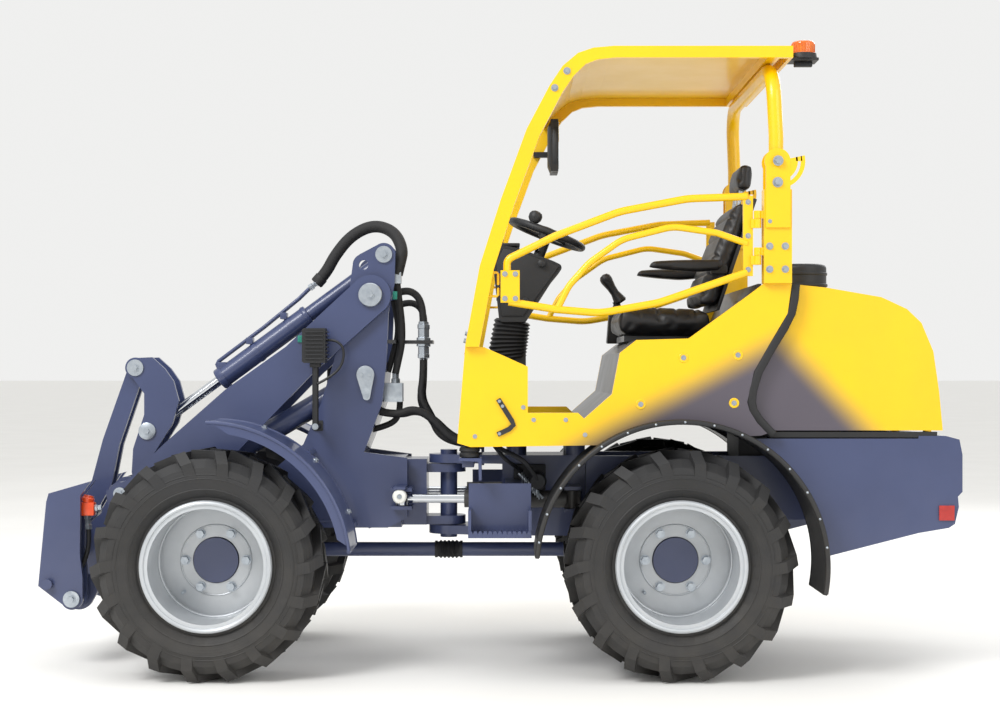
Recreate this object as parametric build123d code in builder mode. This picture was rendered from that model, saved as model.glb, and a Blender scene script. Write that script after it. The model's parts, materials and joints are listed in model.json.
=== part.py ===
from build123d import *
import os
from math import cos, hypot, radians, sin, sqrt

# Compact articulated wheel loader with a folding canopy and a quick hitch.
# Forward is -X, the left side is -Y, up is +Z, and the ground is Z = 0. Millimetres.

os.makedirs("parts", exist_ok=True)

# Running gear
WHEEL_RADIUS = 380
LUG_HEIGHT = 31
LUG_WIDTH = 36
LUGS_PER_SIDE = 18
TYRE_SIDES = 36
TYRE_WIDTH = 264
TRACK = 856
FRONT_AXLE_X = -930
REAR_AXLE_X = 610
RIM_SEAT_RADIUS = 200
RIM_LIP_RADIUS = 215
RIM_WIDTH = 230
RIM_WALL = 12
RIM_BORE_RADIUS = 78
DISC_INSET = 205
HUB_RADIUS = 75
AXLE_RADIUS = 60
SHAFT_RADIUS = 25
WHEEL_Y = TRACK / 2

# Clearances
FIT = 0.3
GAP = 1.0

# Articulation
PIVOT_X = -160
PIVOT_RADIUS = 30
YOKE_THICKNESS = 30
YOKE_LOW_Z = 440
YOKE_HIGH_Z = 720
STEER_ROD_X = PIVOT_X - 156
STEER_ROD_Y = 190
STEER_BASE_X = PIVOT_X + 430
STEER_BASE_Y = 215
STEER_Z = 575
STEER_BARREL_RADIUS = 30
STEER_BARREL_LENGTH = 370
STEER_ROD_RADIUS = 15

# Loader linkage, as points in X and Z
BOOM_PIVOT = (-425, 1276)
HITCH_PIVOT = (-1431, 240)
HITCH_LINK = (-1434, 519)
CRANK_PIVOT = (-1290, 590)
CRANK_TOP = (-1262, 1025)
CRANK_ROD = (-1220, 802)
TILT_BASE = (-381, 1418)
SPARE_HOLE = (-451, 1382)
LIFT_BASE = (-444, 1001)
LIFT_PIN = (-1020, 668)

# Loader linkage, widths across the machine from the centre plane
TOWER_INNER_Y = 130
TOWER_OUTER_Y = 150
BOOM_INNER_Y = 158
BOOM_OUTER_Y = 178
CRANK_INNER_Y = 46
CRANK_OUTER_Y = 64
LINK_INNER_Y = 24
LINK_OUTER_Y = 40
HITCH_INNER_Y = 192
HITCH_OUTER_Y = 275
HITCH_PLATE = 18
ROD_EYE_Y = 20
LIFT_Y = 85
LIFT_EYE_WIDTH = 38

# Cab, canopy and hood
CAB_INNER_Y = 460
CAB_OUTER_Y = 480
POST_INNER_Y = 455
POST_OUTER_Y = 505
FLOOR_Z = 790
FLOOR_THICKNESS = 12
DECK_Z = 1115
PANEL_TOP_Z = 1300
ROOF_TOP_Z = 2072
ROOF_DEPTH = 38
ROOF_SHEET = 8
ROOF_REAR_X = 976
FOLD_PIVOT = (924, 1696)
HOOP_RADIUS = 24
HOOP_Y = 480
DOOR_HINGE_X = 862
DOOR_HINGE_Y = 492
DOOR_TUBE_RADIUS = 12.5
DOOR_BRACE_RADIUS = 11
DOOR_Y = 480
HOOD_Y = 440
HOOD_WALL = 12
HOOD_BOTTOM_Z = 818
HOOD_HINGE = (1484, 808)
MUDGUARD_RADIUS = 463
MUDGUARD_SHEET = 12
FENDER_RADIUS = 465
FENDER_SHEET = 6
FENDER_INNER_Y = 300
FENDER_OUTER_Y = 556
TAIL_X = 1545
HITCH_FRONT_X = -1545


# Drawing helpers
def side_plane(y):
    """Plane across the machine at y: local x is +X, local y is +Z, facing -Y."""
    return Plane(origin=(0, y, 0), x_dir=(1, 0, 0), z_dir=(0, -1, 0))


def outline(points, y, corner=0):
    """Closed outline in X and Z with rounded corners."""
    with BuildSketch(side_plane(y)) as sketch:
        with BuildLine():
            if corner:
                FilletPolyline(*points, radius=corner, close=True)
            else:
                Polyline(*points, close=True)
        make_face()
    return sketch.sketch


def plate(points, inner, outer, corner=0, mode=Mode.ADD):
    """Plate of the given outline from inner to outer, measured towards the left side."""
    extrude(outline(points, -inner, corner), amount=outer - inner, mode=mode)


def disc(centre, inner, outer, radius, mode=Mode.ADD):
    """Round boss or hole across the machine from inner to outer, towards the left side."""
    with BuildSketch(side_plane(-inner)) as sketch:
        with Locations(centre):
            Circle(radius)
    extrude(sketch.sketch, amount=outer - inner, mode=mode)


def arc_band(centre, inner, outer, start, sweep_angle, y):
    """Sector of a ring in X and Z."""
    with BuildSketch(side_plane(y)) as sketch:
        with BuildLine():
            outer_arc = CenterArc(centre, outer, start, sweep_angle)
            inner_arc = CenterArc(centre, inner, start, sweep_angle)
            Line(outer_arc @ 0, inner_arc @ 0)
            Line(outer_arc @ 1, inner_arc @ 1)
        make_face()
    return sketch.sketch


def block(low, high, mode=Mode.ADD):
    """Box between two opposite corners."""
    centre = [(a + b) / 2 for a, b in zip(low, high)]
    with Locations(tuple(centre)):
        Box(*[b - a for a, b in zip(low, high)], mode=mode)


def bar(start, end, radius, mode=Mode.ADD):
    """Round bar from one point to another."""
    axis = Vector(*end) - Vector(*start)
    with BuildSketch(Plane(origin=start, z_dir=axis)) as sketch:
        Circle(radius)
    extrude(sketch.sketch, amount=axis.length, mode=mode)


def bent_tube(points, bends, radius):
    """Round tube along straight runs joined by bends."""
    with BuildLine() as path:
        FilletPolyline(*points, radius=bends)
    with BuildSketch(Plane(origin=path.line @ 0, z_dir=path.line % 0)) as section:
        Circle(radius)
    sweep(section.sketch, path=path.line)


def along(start, end, distance):
    """Point at a distance from start towards end, in X and Z."""
    length = hypot(end[0] - start[0], end[1] - start[1])
    return (
        start[0] + (end[0] - start[0]) * distance / length,
        start[1] + (end[1] - start[1]) * distance / length,
    )


def at_side(point, y):
    """A linkage point in X and Z placed at y."""
    return (point[0], y, point[1])


def save(builder, name):
    """Label a finished piece and write it."""
    builder.part.label = name
    export_step(builder.part, f"parts/{name}.step")


def save_mirrored(builder, name):
    """Write the right-hand copy of a left-hand piece."""
    with BuildPart() as twin:
        mirror(builder.part, about=Plane.XZ)
    save(twin, name)


# Wheels: a lugged tyre on a deep-dished rim
CARCASS_RADIUS = WHEEL_RADIUS - LUG_HEIGHT
SEAT_HALF = RIM_WIDTH / 2 - RIM_WALL
HALF_TYRE = TYRE_WIDTH / 2


def tyre_ring(y, radius):
    """Many-sided section of the tyre at y."""
    with BuildSketch(side_plane(y)) as sketch:
        RegularPolygon(radius, TYRE_SIDES)
    return sketch.sketch


def lug_section(y, shift, bottom, top):
    """Upright section of a lug at y, shifted round the tyre."""
    with BuildSketch(side_plane(y)) as sketch:
        with Locations((shift, (bottom + top) / 2)):
            Rectangle(LUG_WIDTH, top - bottom)
    return sketch.sketch


def lug_top(shift):
    """Height of a lug whose outer corner lies on the wheel radius."""
    return sqrt(WHEEL_RADIUS**2 - (abs(shift) + LUG_WIDTH / 2) ** 2)


half_profile = [
    (SEAT_HALF - GAP, RIM_LIP_RADIUS + 10),
    (HALF_TYRE - 7, RIM_LIP_RADIUS + 35),
    (HALF_TYRE, RIM_LIP_RADIUS + 70),
    (HALF_TYRE - 6, CARCASS_RADIUS - 27),
    (HALF_TYRE - 32, CARCASS_RADIUS),
]
stations = [(-y, r) for y, r in half_profile] + [(y, r) for y, r in reversed(half_profile)]

CENTRE_SHIFT = -50
SHOULDER_SHIFT = 44
FOOT_SHIFT = 58
with BuildPart() as lug:
    loft(
        [
            lug_section(6, CENTRE_SHIFT, CARCASS_RADIUS - 25, lug_top(CENTRE_SHIFT)),
            lug_section(-(HALF_TYRE - 36), SHOULDER_SHIFT, CARCASS_RADIUS - 25, lug_top(SHOULDER_SHIFT)),
            lug_section(-(HALF_TYRE - 1), FOOT_SHIFT, CARCASS_RADIUS - 75, CARCASS_RADIUS - 16),
        ],
        ruled=True,
    )

LUG_PITCH = 360 / LUGS_PER_SIDE
with BuildPart() as tyre_form:
    loft([tyre_ring(y, r) for y, r in stations], ruled=True)
    with Locations(*[Location((0, 0, 0), (0, LUG_PITCH * i, 0)) for i in range(LUGS_PER_SIDE)]):
        add(lug.part)
    with Locations(
        *[Location((0, 0, 0), (0, LUG_PITCH * (i + 0.5), 0)) for i in range(LUGS_PER_SIDE)]
    ):
        add(mirror(lug.part, about=Plane.XZ, mode=Mode.PRIVATE))
    disc((0, 0), -HALF_TYRE, HALF_TYRE, RIM_SEAT_RADIUS + FIT, mode=Mode.SUBTRACT)

DISC_FACE = RIM_WIDTH / 2 - DISC_INSET
with BuildPart() as rim_form:
    with BuildSketch(Plane.XY):
        with BuildLine():
            Polyline(
                (RIM_BORE_RADIUS, -DISC_FACE),
                (RIM_SEAT_RADIUS - RIM_WALL, -DISC_FACE),
                (RIM_SEAT_RADIUS - RIM_WALL, -RIM_WIDTH / 2),
                (RIM_LIP_RADIUS, -RIM_WIDTH / 2),
                (RIM_LIP_RADIUS, -SEAT_HALF),
                (RIM_SEAT_RADIUS, -SEAT_HALF),
                (RIM_SEAT_RADIUS, SEAT_HALF),
                (RIM_LIP_RADIUS, SEAT_HALF),
                (RIM_LIP_RADIUS, RIM_WIDTH / 2),
                (RIM_SEAT_RADIUS - RIM_WALL, RIM_WIDTH / 2),
                (RIM_SEAT_RADIUS - RIM_WALL, -DISC_FACE + RIM_WALL),
                (RIM_BORE_RADIUS, -DISC_FACE + RIM_WALL),
                close=True,
            )
        make_face()
    revolve(axis=Axis.Y)

for axle_name, axle_x in (("front", FRONT_AXLE_X), ("rear", REAR_AXLE_X)):
    for side_name, side in (("left", -1), ("right", 1)):
        with BuildPart() as tyre:
            with Locations((axle_x, side * WHEEL_Y, WHEEL_RADIUS)):
                add(tyre_form.part)
        save(tyre, f"tyre_{axle_name}_{side_name}")
        with BuildPart() as rim:
            turn = 0 if side < 0 else 180
            with Locations(Location((axle_x, side * WHEEL_Y, WHEEL_RADIUS), (0, 0, turn))):
                add(rim_form.part)
        save(rim, f"rim_{axle_name}_{side_name}")


# Axles with their hubs, differential and half of the propeller shaft
HUB_FACE_Y = WHEEL_Y + RIM_WIDTH / 2 - DISC_INSET - RIM_WALL
HUB_FLANGE_RADIUS = 130
HUB_FLANGE = 45
DIFF_RADIUS = 85


def axle(x, pad_top, pad_inner, pad_outer, shaft_end):
    """Axle tube, hubs, differential, pads up to the frame and a shaft towards the pivot."""
    disc((x, WHEEL_RADIUS), -HUB_FACE_Y + HUB_FLANGE, HUB_FACE_Y - HUB_FLANGE, AXLE_RADIUS)
    with Locations((x, 0, WHEEL_RADIUS)):
        Sphere(DIFF_RADIUS)
    for side in (-1, 1):
        ends = sorted((side * (HUB_FACE_Y - HUB_FLANGE), side * (HUB_FACE_Y - FIT)))
        disc((x, WHEEL_RADIUS), -ends[1], -ends[0], HUB_FLANGE_RADIUS)
        ends = sorted((side * (HUB_FACE_Y - HUB_FLANGE), side * (HUB_FACE_Y + RIM_WALL + 8)))
        disc((x, WHEEL_RADIUS), -ends[1], -ends[0], HUB_RADIUS)
        ends = sorted((side * pad_inner, side * pad_outer))
        block((x - 45, ends[0], WHEEL_RADIUS), (x + 45, ends[1], pad_top))
    bar((x, 0, WHEEL_RADIUS), (shaft_end, 0, WHEEL_RADIUS), SHAFT_RADIUS)


FRONT_FRAME_BOTTOM = 470
REAR_FRAME_BOTTOM = 520
SHAFT_JOINT_GAP = 40
with BuildPart() as front_axle:
    axle(FRONT_AXLE_X, FRONT_FRAME_BOTTOM, 100, TOWER_OUTER_Y, PIVOT_X - SHAFT_JOINT_GAP)
save(front_axle, "front_axle")

with BuildPart() as rear_axle:
    axle(REAR_AXLE_X, REAR_FRAME_BOTTOM, 120, 180, PIVOT_X + SHAFT_JOINT_GAP)
save(rear_axle, "rear_axle")


# Rear chassis: a narrow neck with the pivot yoke, and a wider engine frame
NECK_X = 30
NECK_INNER_Y = 105
NECK_OUTER_Y = 125
MAIN_X = 320
MAIN_INNER_Y = 150
MAIN_OUTER_Y = 170
CHASSIS_END_X = 1400
YOKE_RADIUS = 70
CAB_MOUNT_RADIUS = 35
ENGINE_X = (850, 1200)
ENGINE_BED_Z = 520


def yoke_plate(z):
    """Plate from the neck to a round end about the steering pivot."""
    with BuildSketch(Plane.XY.offset(z)) as sketch:
        with BuildLine():
            Polyline(
                (PIVOT_X, -YOKE_RADIUS),
                (NECK_X, -NECK_OUTER_Y),
                (MAIN_X, -NECK_OUTER_Y),
                (MAIN_X, NECK_OUTER_Y),
                (NECK_X, NECK_OUTER_Y),
                (PIVOT_X, YOKE_RADIUS),
                close=True,
            )
        make_face()
        with Locations((PIVOT_X, 0)):
            Circle(YOKE_RADIUS)
    extrude(sketch.sketch, amount=YOKE_THICKNESS)


with BuildPart() as rear_chassis:
    yoke_plate(YOKE_LOW_Z)
    yoke_plate(YOKE_HIGH_Z - YOKE_THICKNESS)
    block((NECK_X, NECK_INNER_Y, YOKE_LOW_Z), (MAIN_X, NECK_OUTER_Y, YOKE_HIGH_Z))
    plate(
        [
            (MAIN_X, YOKE_LOW_Z),
            (MAIN_X, YOKE_HIGH_Z),
            (CHASSIS_END_X, YOKE_HIGH_Z),
            (CHASSIS_END_X, 500),
            (REAR_AXLE_X + 110, 500),
            (REAR_AXLE_X + 80, REAR_FRAME_BOTTOM),
            (REAR_AXLE_X - 80, REAR_FRAME_BOTTOM),
            (REAR_AXLE_X - 110, YOKE_LOW_Z),
        ],
        -MAIN_OUTER_Y,
        -MAIN_INNER_Y,
    )
    mirror(about=Plane.XZ)
    block((MAIN_X, -MAIN_OUTER_Y, YOKE_LOW_Z), (MAIN_X + 20, MAIN_OUTER_Y, YOKE_HIGH_Z))
    block((CHASSIS_END_X - 20, -MAIN_OUTER_Y, 500), (CHASSIS_END_X, MAIN_OUTER_Y, YOKE_HIGH_Z))
    for bed_x in (ENGINE_X[0] + 30, ENGINE_X[1] - 30):
        block((bed_x - 30, -MAIN_INNER_Y, 500), (bed_x + 30, MAIN_INNER_Y, ENGINE_BED_Z))
    with Locations((PIVOT_X, 0, (YOKE_LOW_Z + YOKE_HIGH_Z) / 2)):
        Cylinder(PIVOT_RADIUS, YOKE_HIGH_Z - YOKE_LOW_Z + 30)
    for side in (-1, 1):
        for z in (STEER_Z - STEER_BARREL_RADIUS - 14, STEER_Z + STEER_BARREL_RADIUS + 2):
            ends = sorted((side * NECK_OUTER_Y, side * (STEER_BASE_Y + 35)))
            block((STEER_BASE_X - 28, ends[0], z), (STEER_BASE_X + 28, ends[1], z + 12))
        with Locations((STEER_BASE_X, side * STEER_BASE_Y, STEER_Z)):
            Cylinder(14, 2 * STEER_BARREL_RADIUS + 28)
        for mount_x in (80, 285):
            bar(
                (mount_x, side * 85, YOKE_HIGH_Z),
                (mount_x, side * 85, FLOOR_Z - FLOOR_THICKNESS),
                CAB_MOUNT_RADIUS,
            )
save(rear_chassis, "rear_chassis")

with BuildPart() as engine:
    block((ENGINE_X[0], -MAIN_INNER_Y + 5, ENGINE_BED_Z), (ENGINE_X[1], MAIN_INNER_Y - 5, 1080))
save(engine, "engine")

CASTING_TOP_Z = 800
with BuildPart() as counterweight:
    plate(
        [
            (CHASSIS_END_X, 480),
            (TAIL_X - 45, 497),
            (TAIL_X - 25, 510),
            (TAIL_X - 12, 566),
            (TAIL_X - 15, 600),
            (TAIL_X, 616),
            (TAIL_X, 738),
            (TAIL_X - 10, 788),
            (TAIL_X - 55, CASTING_TOP_Z),
            (CHASSIS_END_X, CASTING_TOP_Z),
        ],
        -HOOD_Y,
        HOOD_Y,
    )
    for side in (-1, 1):
        ends = sorted((side * 200, side * 230))
        block((HOOD_HINGE[0] - 8, ends[0], CASTING_TOP_Z), (HOOD_HINGE[0] + 8, ends[1], HOOD_HINGE[1]))
        disc(HOOD_HINGE, -ends[1], -ends[0], 8)
        disc(HOOD_HINGE, -ends[1], -ends[0], 4 + FIT, mode=Mode.SUBTRACT)
save(counterweight, "counterweight")

REAR_WHEEL = (REAR_AXLE_X, WHEEL_RADIUS)
FRONT_WHEEL = (FRONT_AXLE_X, WHEEL_RADIUS)
MUDGUARD_OUTER = MUDGUARD_RADIUS + MUDGUARD_SHEET
SKIRT_TOP_Z = 791
with BuildPart() as rear_skirts:
    plate(
        [(860, 403), (1100, 403), (CHASSIS_END_X, 480), (CHASSIS_END_X, SKIRT_TOP_Z), (860, SKIRT_TOP_Z)],
        HOOD_Y - 20,
        HOOD_Y,
    )
    disc(REAR_WHEEL, HOOD_Y - 21, HOOD_Y + 1, MUDGUARD_OUTER + FIT, mode=Mode.SUBTRACT)
    mirror(about=Plane.XZ)
save(rear_skirts, "rear_skirts")

with BuildPart() as rear_mudguards:
    extrude(
        arc_band(REAR_WHEEL, MUDGUARD_RADIUS, MUDGUARD_OUTER, -11, 187.5, -FENDER_INNER_Y),
        amount=FENDER_OUTER_Y - FENDER_INNER_Y,
    )
    mirror(about=Plane.XZ)
save(rear_mudguards, "rear_mudguards")

with BuildPart() as tail_lamps:
    block((TAIL_X - 78, -HOOD_Y - 6, 522), (TAIL_X - 28, -HOOD_Y, 571))
    mirror(about=Plane.XZ)
save(tail_lamps, "tail_lamps")

STEP_X = (-82, 125)
STEP_Z = 469
STEP_ARM_Z = 620
with BuildPart() as steps:
    block((STEP_X[0], -500, STEP_Z), (STEP_X[1], -380, STEP_Z + 12))
    block((STEP_X[0], -392, STEP_Z), (STEP_X[1], -380, STEP_ARM_Z + 20))
    for end_x in (STEP_X[0], STEP_X[1] - 10):
        block((end_x, -500, STEP_Z), (end_x + 10, -380, STEP_Z + 90))
    block((NECK_X + 10, -380, STEP_ARM_Z), (NECK_X + 70, -NECK_OUTER_Y, STEP_ARM_Z + 20))
    mirror(about=Plane.XZ)
save(steps, "steps")


# Cab: floor and front wall, side panels, seat deck with the rear wall
CAB_FRONT_X = -95
INSIDE_Y = CAB_INNER_Y - FIT
RISER_X = 297
with BuildPart() as cab_floor:
    block((CAB_FRONT_X, -INSIDE_Y, FLOOR_Z - FLOOR_THICKNESS), (RISER_X + 12, INSIDE_Y, FLOOR_Z))
    block((CAB_FRONT_X, -INSIDE_Y, FLOOR_Z), (CAB_FRONT_X + 12, INSIDE_Y, 1074))
save(cab_floor, "cab_floor")

with BuildPart() as seat_base:
    plate(
        [
            (RISER_X, FLOOR_Z),
            (RISER_X + 12, FLOOR_Z),
            (RISER_X + 12, 850),
            (400, 935),
            (426, 1065),
            (478, DECK_Z - 12),
            (788, DECK_Z - 12),
            (788, 870),
            (800, 870),
            (800, DECK_Z - 4),
            (880, PANEL_TOP_Z),
            (868, PANEL_TOP_Z),
            (792, DECK_Z),
            (468, DECK_Z),
            (414, 1073),
            (388, 938),
            (RISER_X, 858),
        ],
        -INSIDE_Y,
        INSIDE_Y,
    )
    block((450, -180, DECK_Z), (740, 180, DECK_Z + 20))
save(seat_base, "seat_base")

with BuildPart() as cab_side_left:
    plate(
        [
            (-118, 778),
            (-74, 765),
            (339, 771),
            (877, 803),
            (903, 812),
            (838, 883),
            (830, 912),
            (852, 1012),
            (903, 1102),
            (962, 1202),
            (976, PANEL_TOP_Z),
            (885, PANEL_TOP_Z),
            (839, 1265),
            (639, 1120),
            (468, DECK_Z),
            (414, 1073),
            (388, 938),
            (RISER_X, 858),
            (277, 877),
            (113, 877),
            (113, 1028),
            (-30, 1092),
            (-92, 1092),
        ],
        CAB_INNER_Y,
        CAB_OUTER_Y,
    )
    disc(REAR_WHEEL, CAB_INNER_Y - 1, CAB_OUTER_Y + 1, MUDGUARD_OUTER + FIT, mode=Mode.SUBTRACT)
save(cab_side_left, "cab_side_left")
save_mirrored(cab_side_left, "cab_side_right")

REAR_POST_X = (881, 972)
REAR_POST_TOP = 1605
FOLD_PLATE = 8
FOLD_BOLT_RADIUS = 10
HINGE_RADIUS = 12
HINGE_PIN_RADIUS = 6
HINGE_ROWS = (1360, 1480)
HINGE_LENGTH = 30
with BuildPart() as rear_posts:
    block((REAR_POST_X[0], -POST_OUTER_Y, PANEL_TOP_Z), (REAR_POST_X[1], -POST_INNER_Y, REAR_POST_TOP))
    for inner in (POST_INNER_Y - FOLD_PLATE, POST_OUTER_Y):
        plate(
            [(886, 1480), (966, 1480), (966, FOLD_PIVOT[1]), (886, FOLD_PIVOT[1])],
            inner,
            inner + FOLD_PLATE,
        )
        disc(FOLD_PIVOT, inner, inner + FOLD_PLATE, 42)
    disc(FOLD_PIVOT, POST_INNER_Y - FOLD_PLATE - 8, POST_OUTER_Y + FOLD_PLATE + 8, FOLD_BOLT_RADIUS)
    for row in HINGE_ROWS:
        knuckle = row + HINGE_LENGTH + GAP
        bar((DOOR_HINGE_X, -DOOR_HINGE_Y, knuckle), (DOOR_HINGE_X, -DOOR_HINGE_Y, knuckle + 25), HINGE_RADIUS)
        bar((DOOR_HINGE_X, -DOOR_HINGE_Y, row), (DOOR_HINGE_X, -DOOR_HINGE_Y, knuckle), HINGE_PIN_RADIUS)
        block(
            (DOOR_HINGE_X, -DOOR_HINGE_Y - 6, knuckle),
            (REAR_POST_X[0], -DOOR_HINGE_Y + 6, knuckle + 25),
        )
    mirror(about=Plane.XZ)
save(rear_posts, "rear_posts")


# Operator's place
with BuildPart() as seat_cushion:
    plate([(410, 1150), (425, 1240), (750, 1225), (760, 1135), (450, 1135)], -240, 240, corner=20)
save(seat_cushion, "seat_cushion")

with BuildPart() as seat_back:
    plate([(686, 1227.4), (768, 1227.4), (895, 1600), (830, 1612)], -225, 225, corner=18)
    plate([(838, 1640), (908, 1636), (915, 1742), (855, 1750)], -125, 125, corner=15)
    for side in (-60, 60):
        bar((862, side, 1590), (873, side, 1660), 8)
save(seat_back, "seat_back")

with BuildPart() as armrests:
    plate([(520, 1362), (530, 1392), (790, 1400), (780, 1352), (690, 1345)], 225 + FIT, 285, corner=10)
    mirror(about=Plane.XZ)
save(armrests, "armrests")

WHEEL_CENTRE = (184, 1485)
WHEEL_TILT = 21
STEER_RIM_RADIUS = 132
STEER_GRIP_RADIUS = 13
wheel_normal = (sin(radians(WHEEL_TILT)), cos(radians(WHEEL_TILT)))
COLUMN_LENGTH = 110
column_foot = (
    WHEEL_CENTRE[0] - COLUMN_LENGTH * wheel_normal[0],
    WHEEL_CENTRE[1] - COLUMN_LENGTH * wheel_normal[1],
)
with BuildPart() as console:
    plate(
        [(-3, 1395), (20, 1185), (112, 1185), (205, 1330), (246, 1380), (208, 1398), (95, 1440), (25, 1455)],
        -110,
        110,
        corner=15,
    )
    plate([(-20, FLOOR_Z), (115, FLOOR_Z), (112, 1185), (20, 1185)], -75, 75)
    bar(at_side(column_foot, 0), at_side(WHEEL_CENTRE, 0), 20)
    bent_tube([(20, -60, 1430), (48, -60, 1640), (85, -60, 1650)], 20, 9)
save(console, "console")

wheel_plane = Plane(
    origin=at_side(WHEEL_CENTRE, 0), x_dir=(0, 1, 0), z_dir=(wheel_normal[0], 0, wheel_normal[1])
)
with BuildPart() as steering_wheel:
    with Locations(wheel_plane.offset(GAP + 14)):
        Torus(STEER_RIM_RADIUS, STEER_GRIP_RADIUS)
        Cylinder(28, 28)
        for spoke in (90, 210, 330):
            with Locations(Location((0, 0, 0), (0, 0, spoke))):
                with Locations((STEER_RIM_RADIUS / 2, 0, 0)):
                    Box(STEER_RIM_RADIUS, 26, 10)
save(steering_wheel, "steering_wheel")

with BuildPart() as joystick:
    plate([(420, DECK_Z), (430, 1245), (740, 1215), (760, DECK_Z)], -360, -300, corner=12)
    bar((470, 330, 1235), (455, 330, 1320), 9)
    with Locations((452, 330, 1345)):
        Sphere(30)
save(joystick, "joystick")


# Folding canopy: front posts, roof, rear hoop, beacon and mirror
POST_FOOT_Z = 1092 + FIT
with BuildPart() as front_posts:
    plate(
        [
            (-92, POST_FOOT_Z),
            (-44, 1356),
            (25, 1573),
            (109, 1802),
            (184, 1944),
            (226, 2007),
            (262, 1975),
            (225, 1921),
            (152, 1783),
            (69, 1557),
            (1, 1343),
            (-46, POST_FOOT_Z),
        ],
        POST_INNER_Y,
        POST_OUTER_Y,
    )
    mirror(about=Plane.XZ)
save(front_posts, "front_posts")

with BuildPart() as roof:
    plate(
        [
            (226, 2007),
            (276, 2049),
            (326, 2066),
            (393, ROOF_TOP_Z),
            (ROOF_REAR_X, ROOF_TOP_Z),
            (ROOF_REAR_X, ROOF_TOP_Z - ROOF_DEPTH),
            (400, ROOF_TOP_Z - ROOF_DEPTH),
            (340, 2028),
            (300, 2012),
            (262, 1975),
        ],
        -POST_OUTER_Y,
        POST_OUTER_Y,
    )
    plate(
        [
            (240, 1960),
            (232, 2001),
            (280, 2042),
            (328, 2058),
            (393, ROOF_TOP_Z - ROOF_SHEET),
            (ROOF_REAR_X - 12, ROOF_TOP_Z - ROOF_SHEET),
            (ROOF_REAR_X - 12, 1960),
        ],
        -POST_OUTER_Y + 20,
        POST_OUTER_Y - 20,
        mode=Mode.SUBTRACT,
    )
    block(
        (FOLD_PIVOT[0] - 30, -POST_OUTER_Y + 20, ROOF_TOP_Z - ROOF_DEPTH),
        (FOLD_PIVOT[0] + 10, POST_OUTER_Y - 20, ROOF_TOP_Z - ROOF_SHEET),
    )
    plate(
        [(184, 1944), (226, 2007), (240, 2018), (246, 2010), (232, 1998), (191, 1940)],
        -POST_INNER_Y,
        POST_INNER_Y,
    )
save(roof, "roof")

HOOP_FOOT_Z = 1625
HOOP_TOP_Z = ROOF_TOP_Z - ROOF_DEPTH - HOOP_RADIUS
HOOP_X = FOLD_PIVOT[0] - 10
with BuildPart() as rear_hoop:
    bent_tube(
        [
            (FOLD_PIVOT[0], -HOOP_Y, HOOP_FOOT_Z),
            (FOLD_PIVOT[0], -HOOP_Y, 1780),
            (HOOP_X, -HOOP_Y + 8, HOOP_TOP_Z),
            (HOOP_X, HOOP_Y - 8, HOOP_TOP_Z),
            (FOLD_PIVOT[0], HOOP_Y, 1780),
            (FOLD_PIVOT[0], HOOP_Y, HOOP_FOOT_Z),
        ],
        [60, 110, 110, 60],
        HOOP_RADIUS,
    )
    for side in (-1, 1):
        ends = sorted((side * (HOOP_Y - 40), side * (HOOP_Y + 40)))
        disc(FOLD_PIVOT, -ends[1], -ends[0], FOLD_BOLT_RADIUS + FIT, mode=Mode.SUBTRACT)
save(rear_hoop, "rear_hoop")

BEACON_X = 1027
BEACON_Y = -400
BEACON_PLATE_Z = ROOF_TOP_Z - 34
BEACON_PLATE = 8
BEACON_FOOT_Z = BEACON_PLATE_Z + BEACON_PLATE
BEACON_SEAT_Z = BEACON_FOOT_Z + 18
BEACON_LENS_HEIGHT = 41
with BuildPart() as beacon_base:
    block((ROOF_REAR_X, BEACON_Y - 40, BEACON_PLATE_Z), (BEACON_X + 45, BEACON_Y + 40, BEACON_FOOT_Z))
    bar((BEACON_X, BEACON_Y, BEACON_FOOT_Z), (BEACON_X, BEACON_Y, BEACON_SEAT_Z), 44)
save(beacon_base, "beacon_base")

with BuildPart() as beacon_lens:
    bar((BEACON_X, BEACON_Y, BEACON_SEAT_Z), (BEACON_X, BEACON_Y, BEACON_SEAT_Z + BEACON_LENS_HEIGHT), 38)
    fillet(beacon_lens.faces().sort_by(Axis.Z)[-1].edges(), 8)
save(beacon_lens, "beacon_lens")

with BuildPart() as mirror_piece:
    block((212, 290, 1760), (240, 430, 1955))
    block((150, 430, 1830), (226, POST_INNER_Y, 1850))
save(mirror_piece, "mirror")


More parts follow.
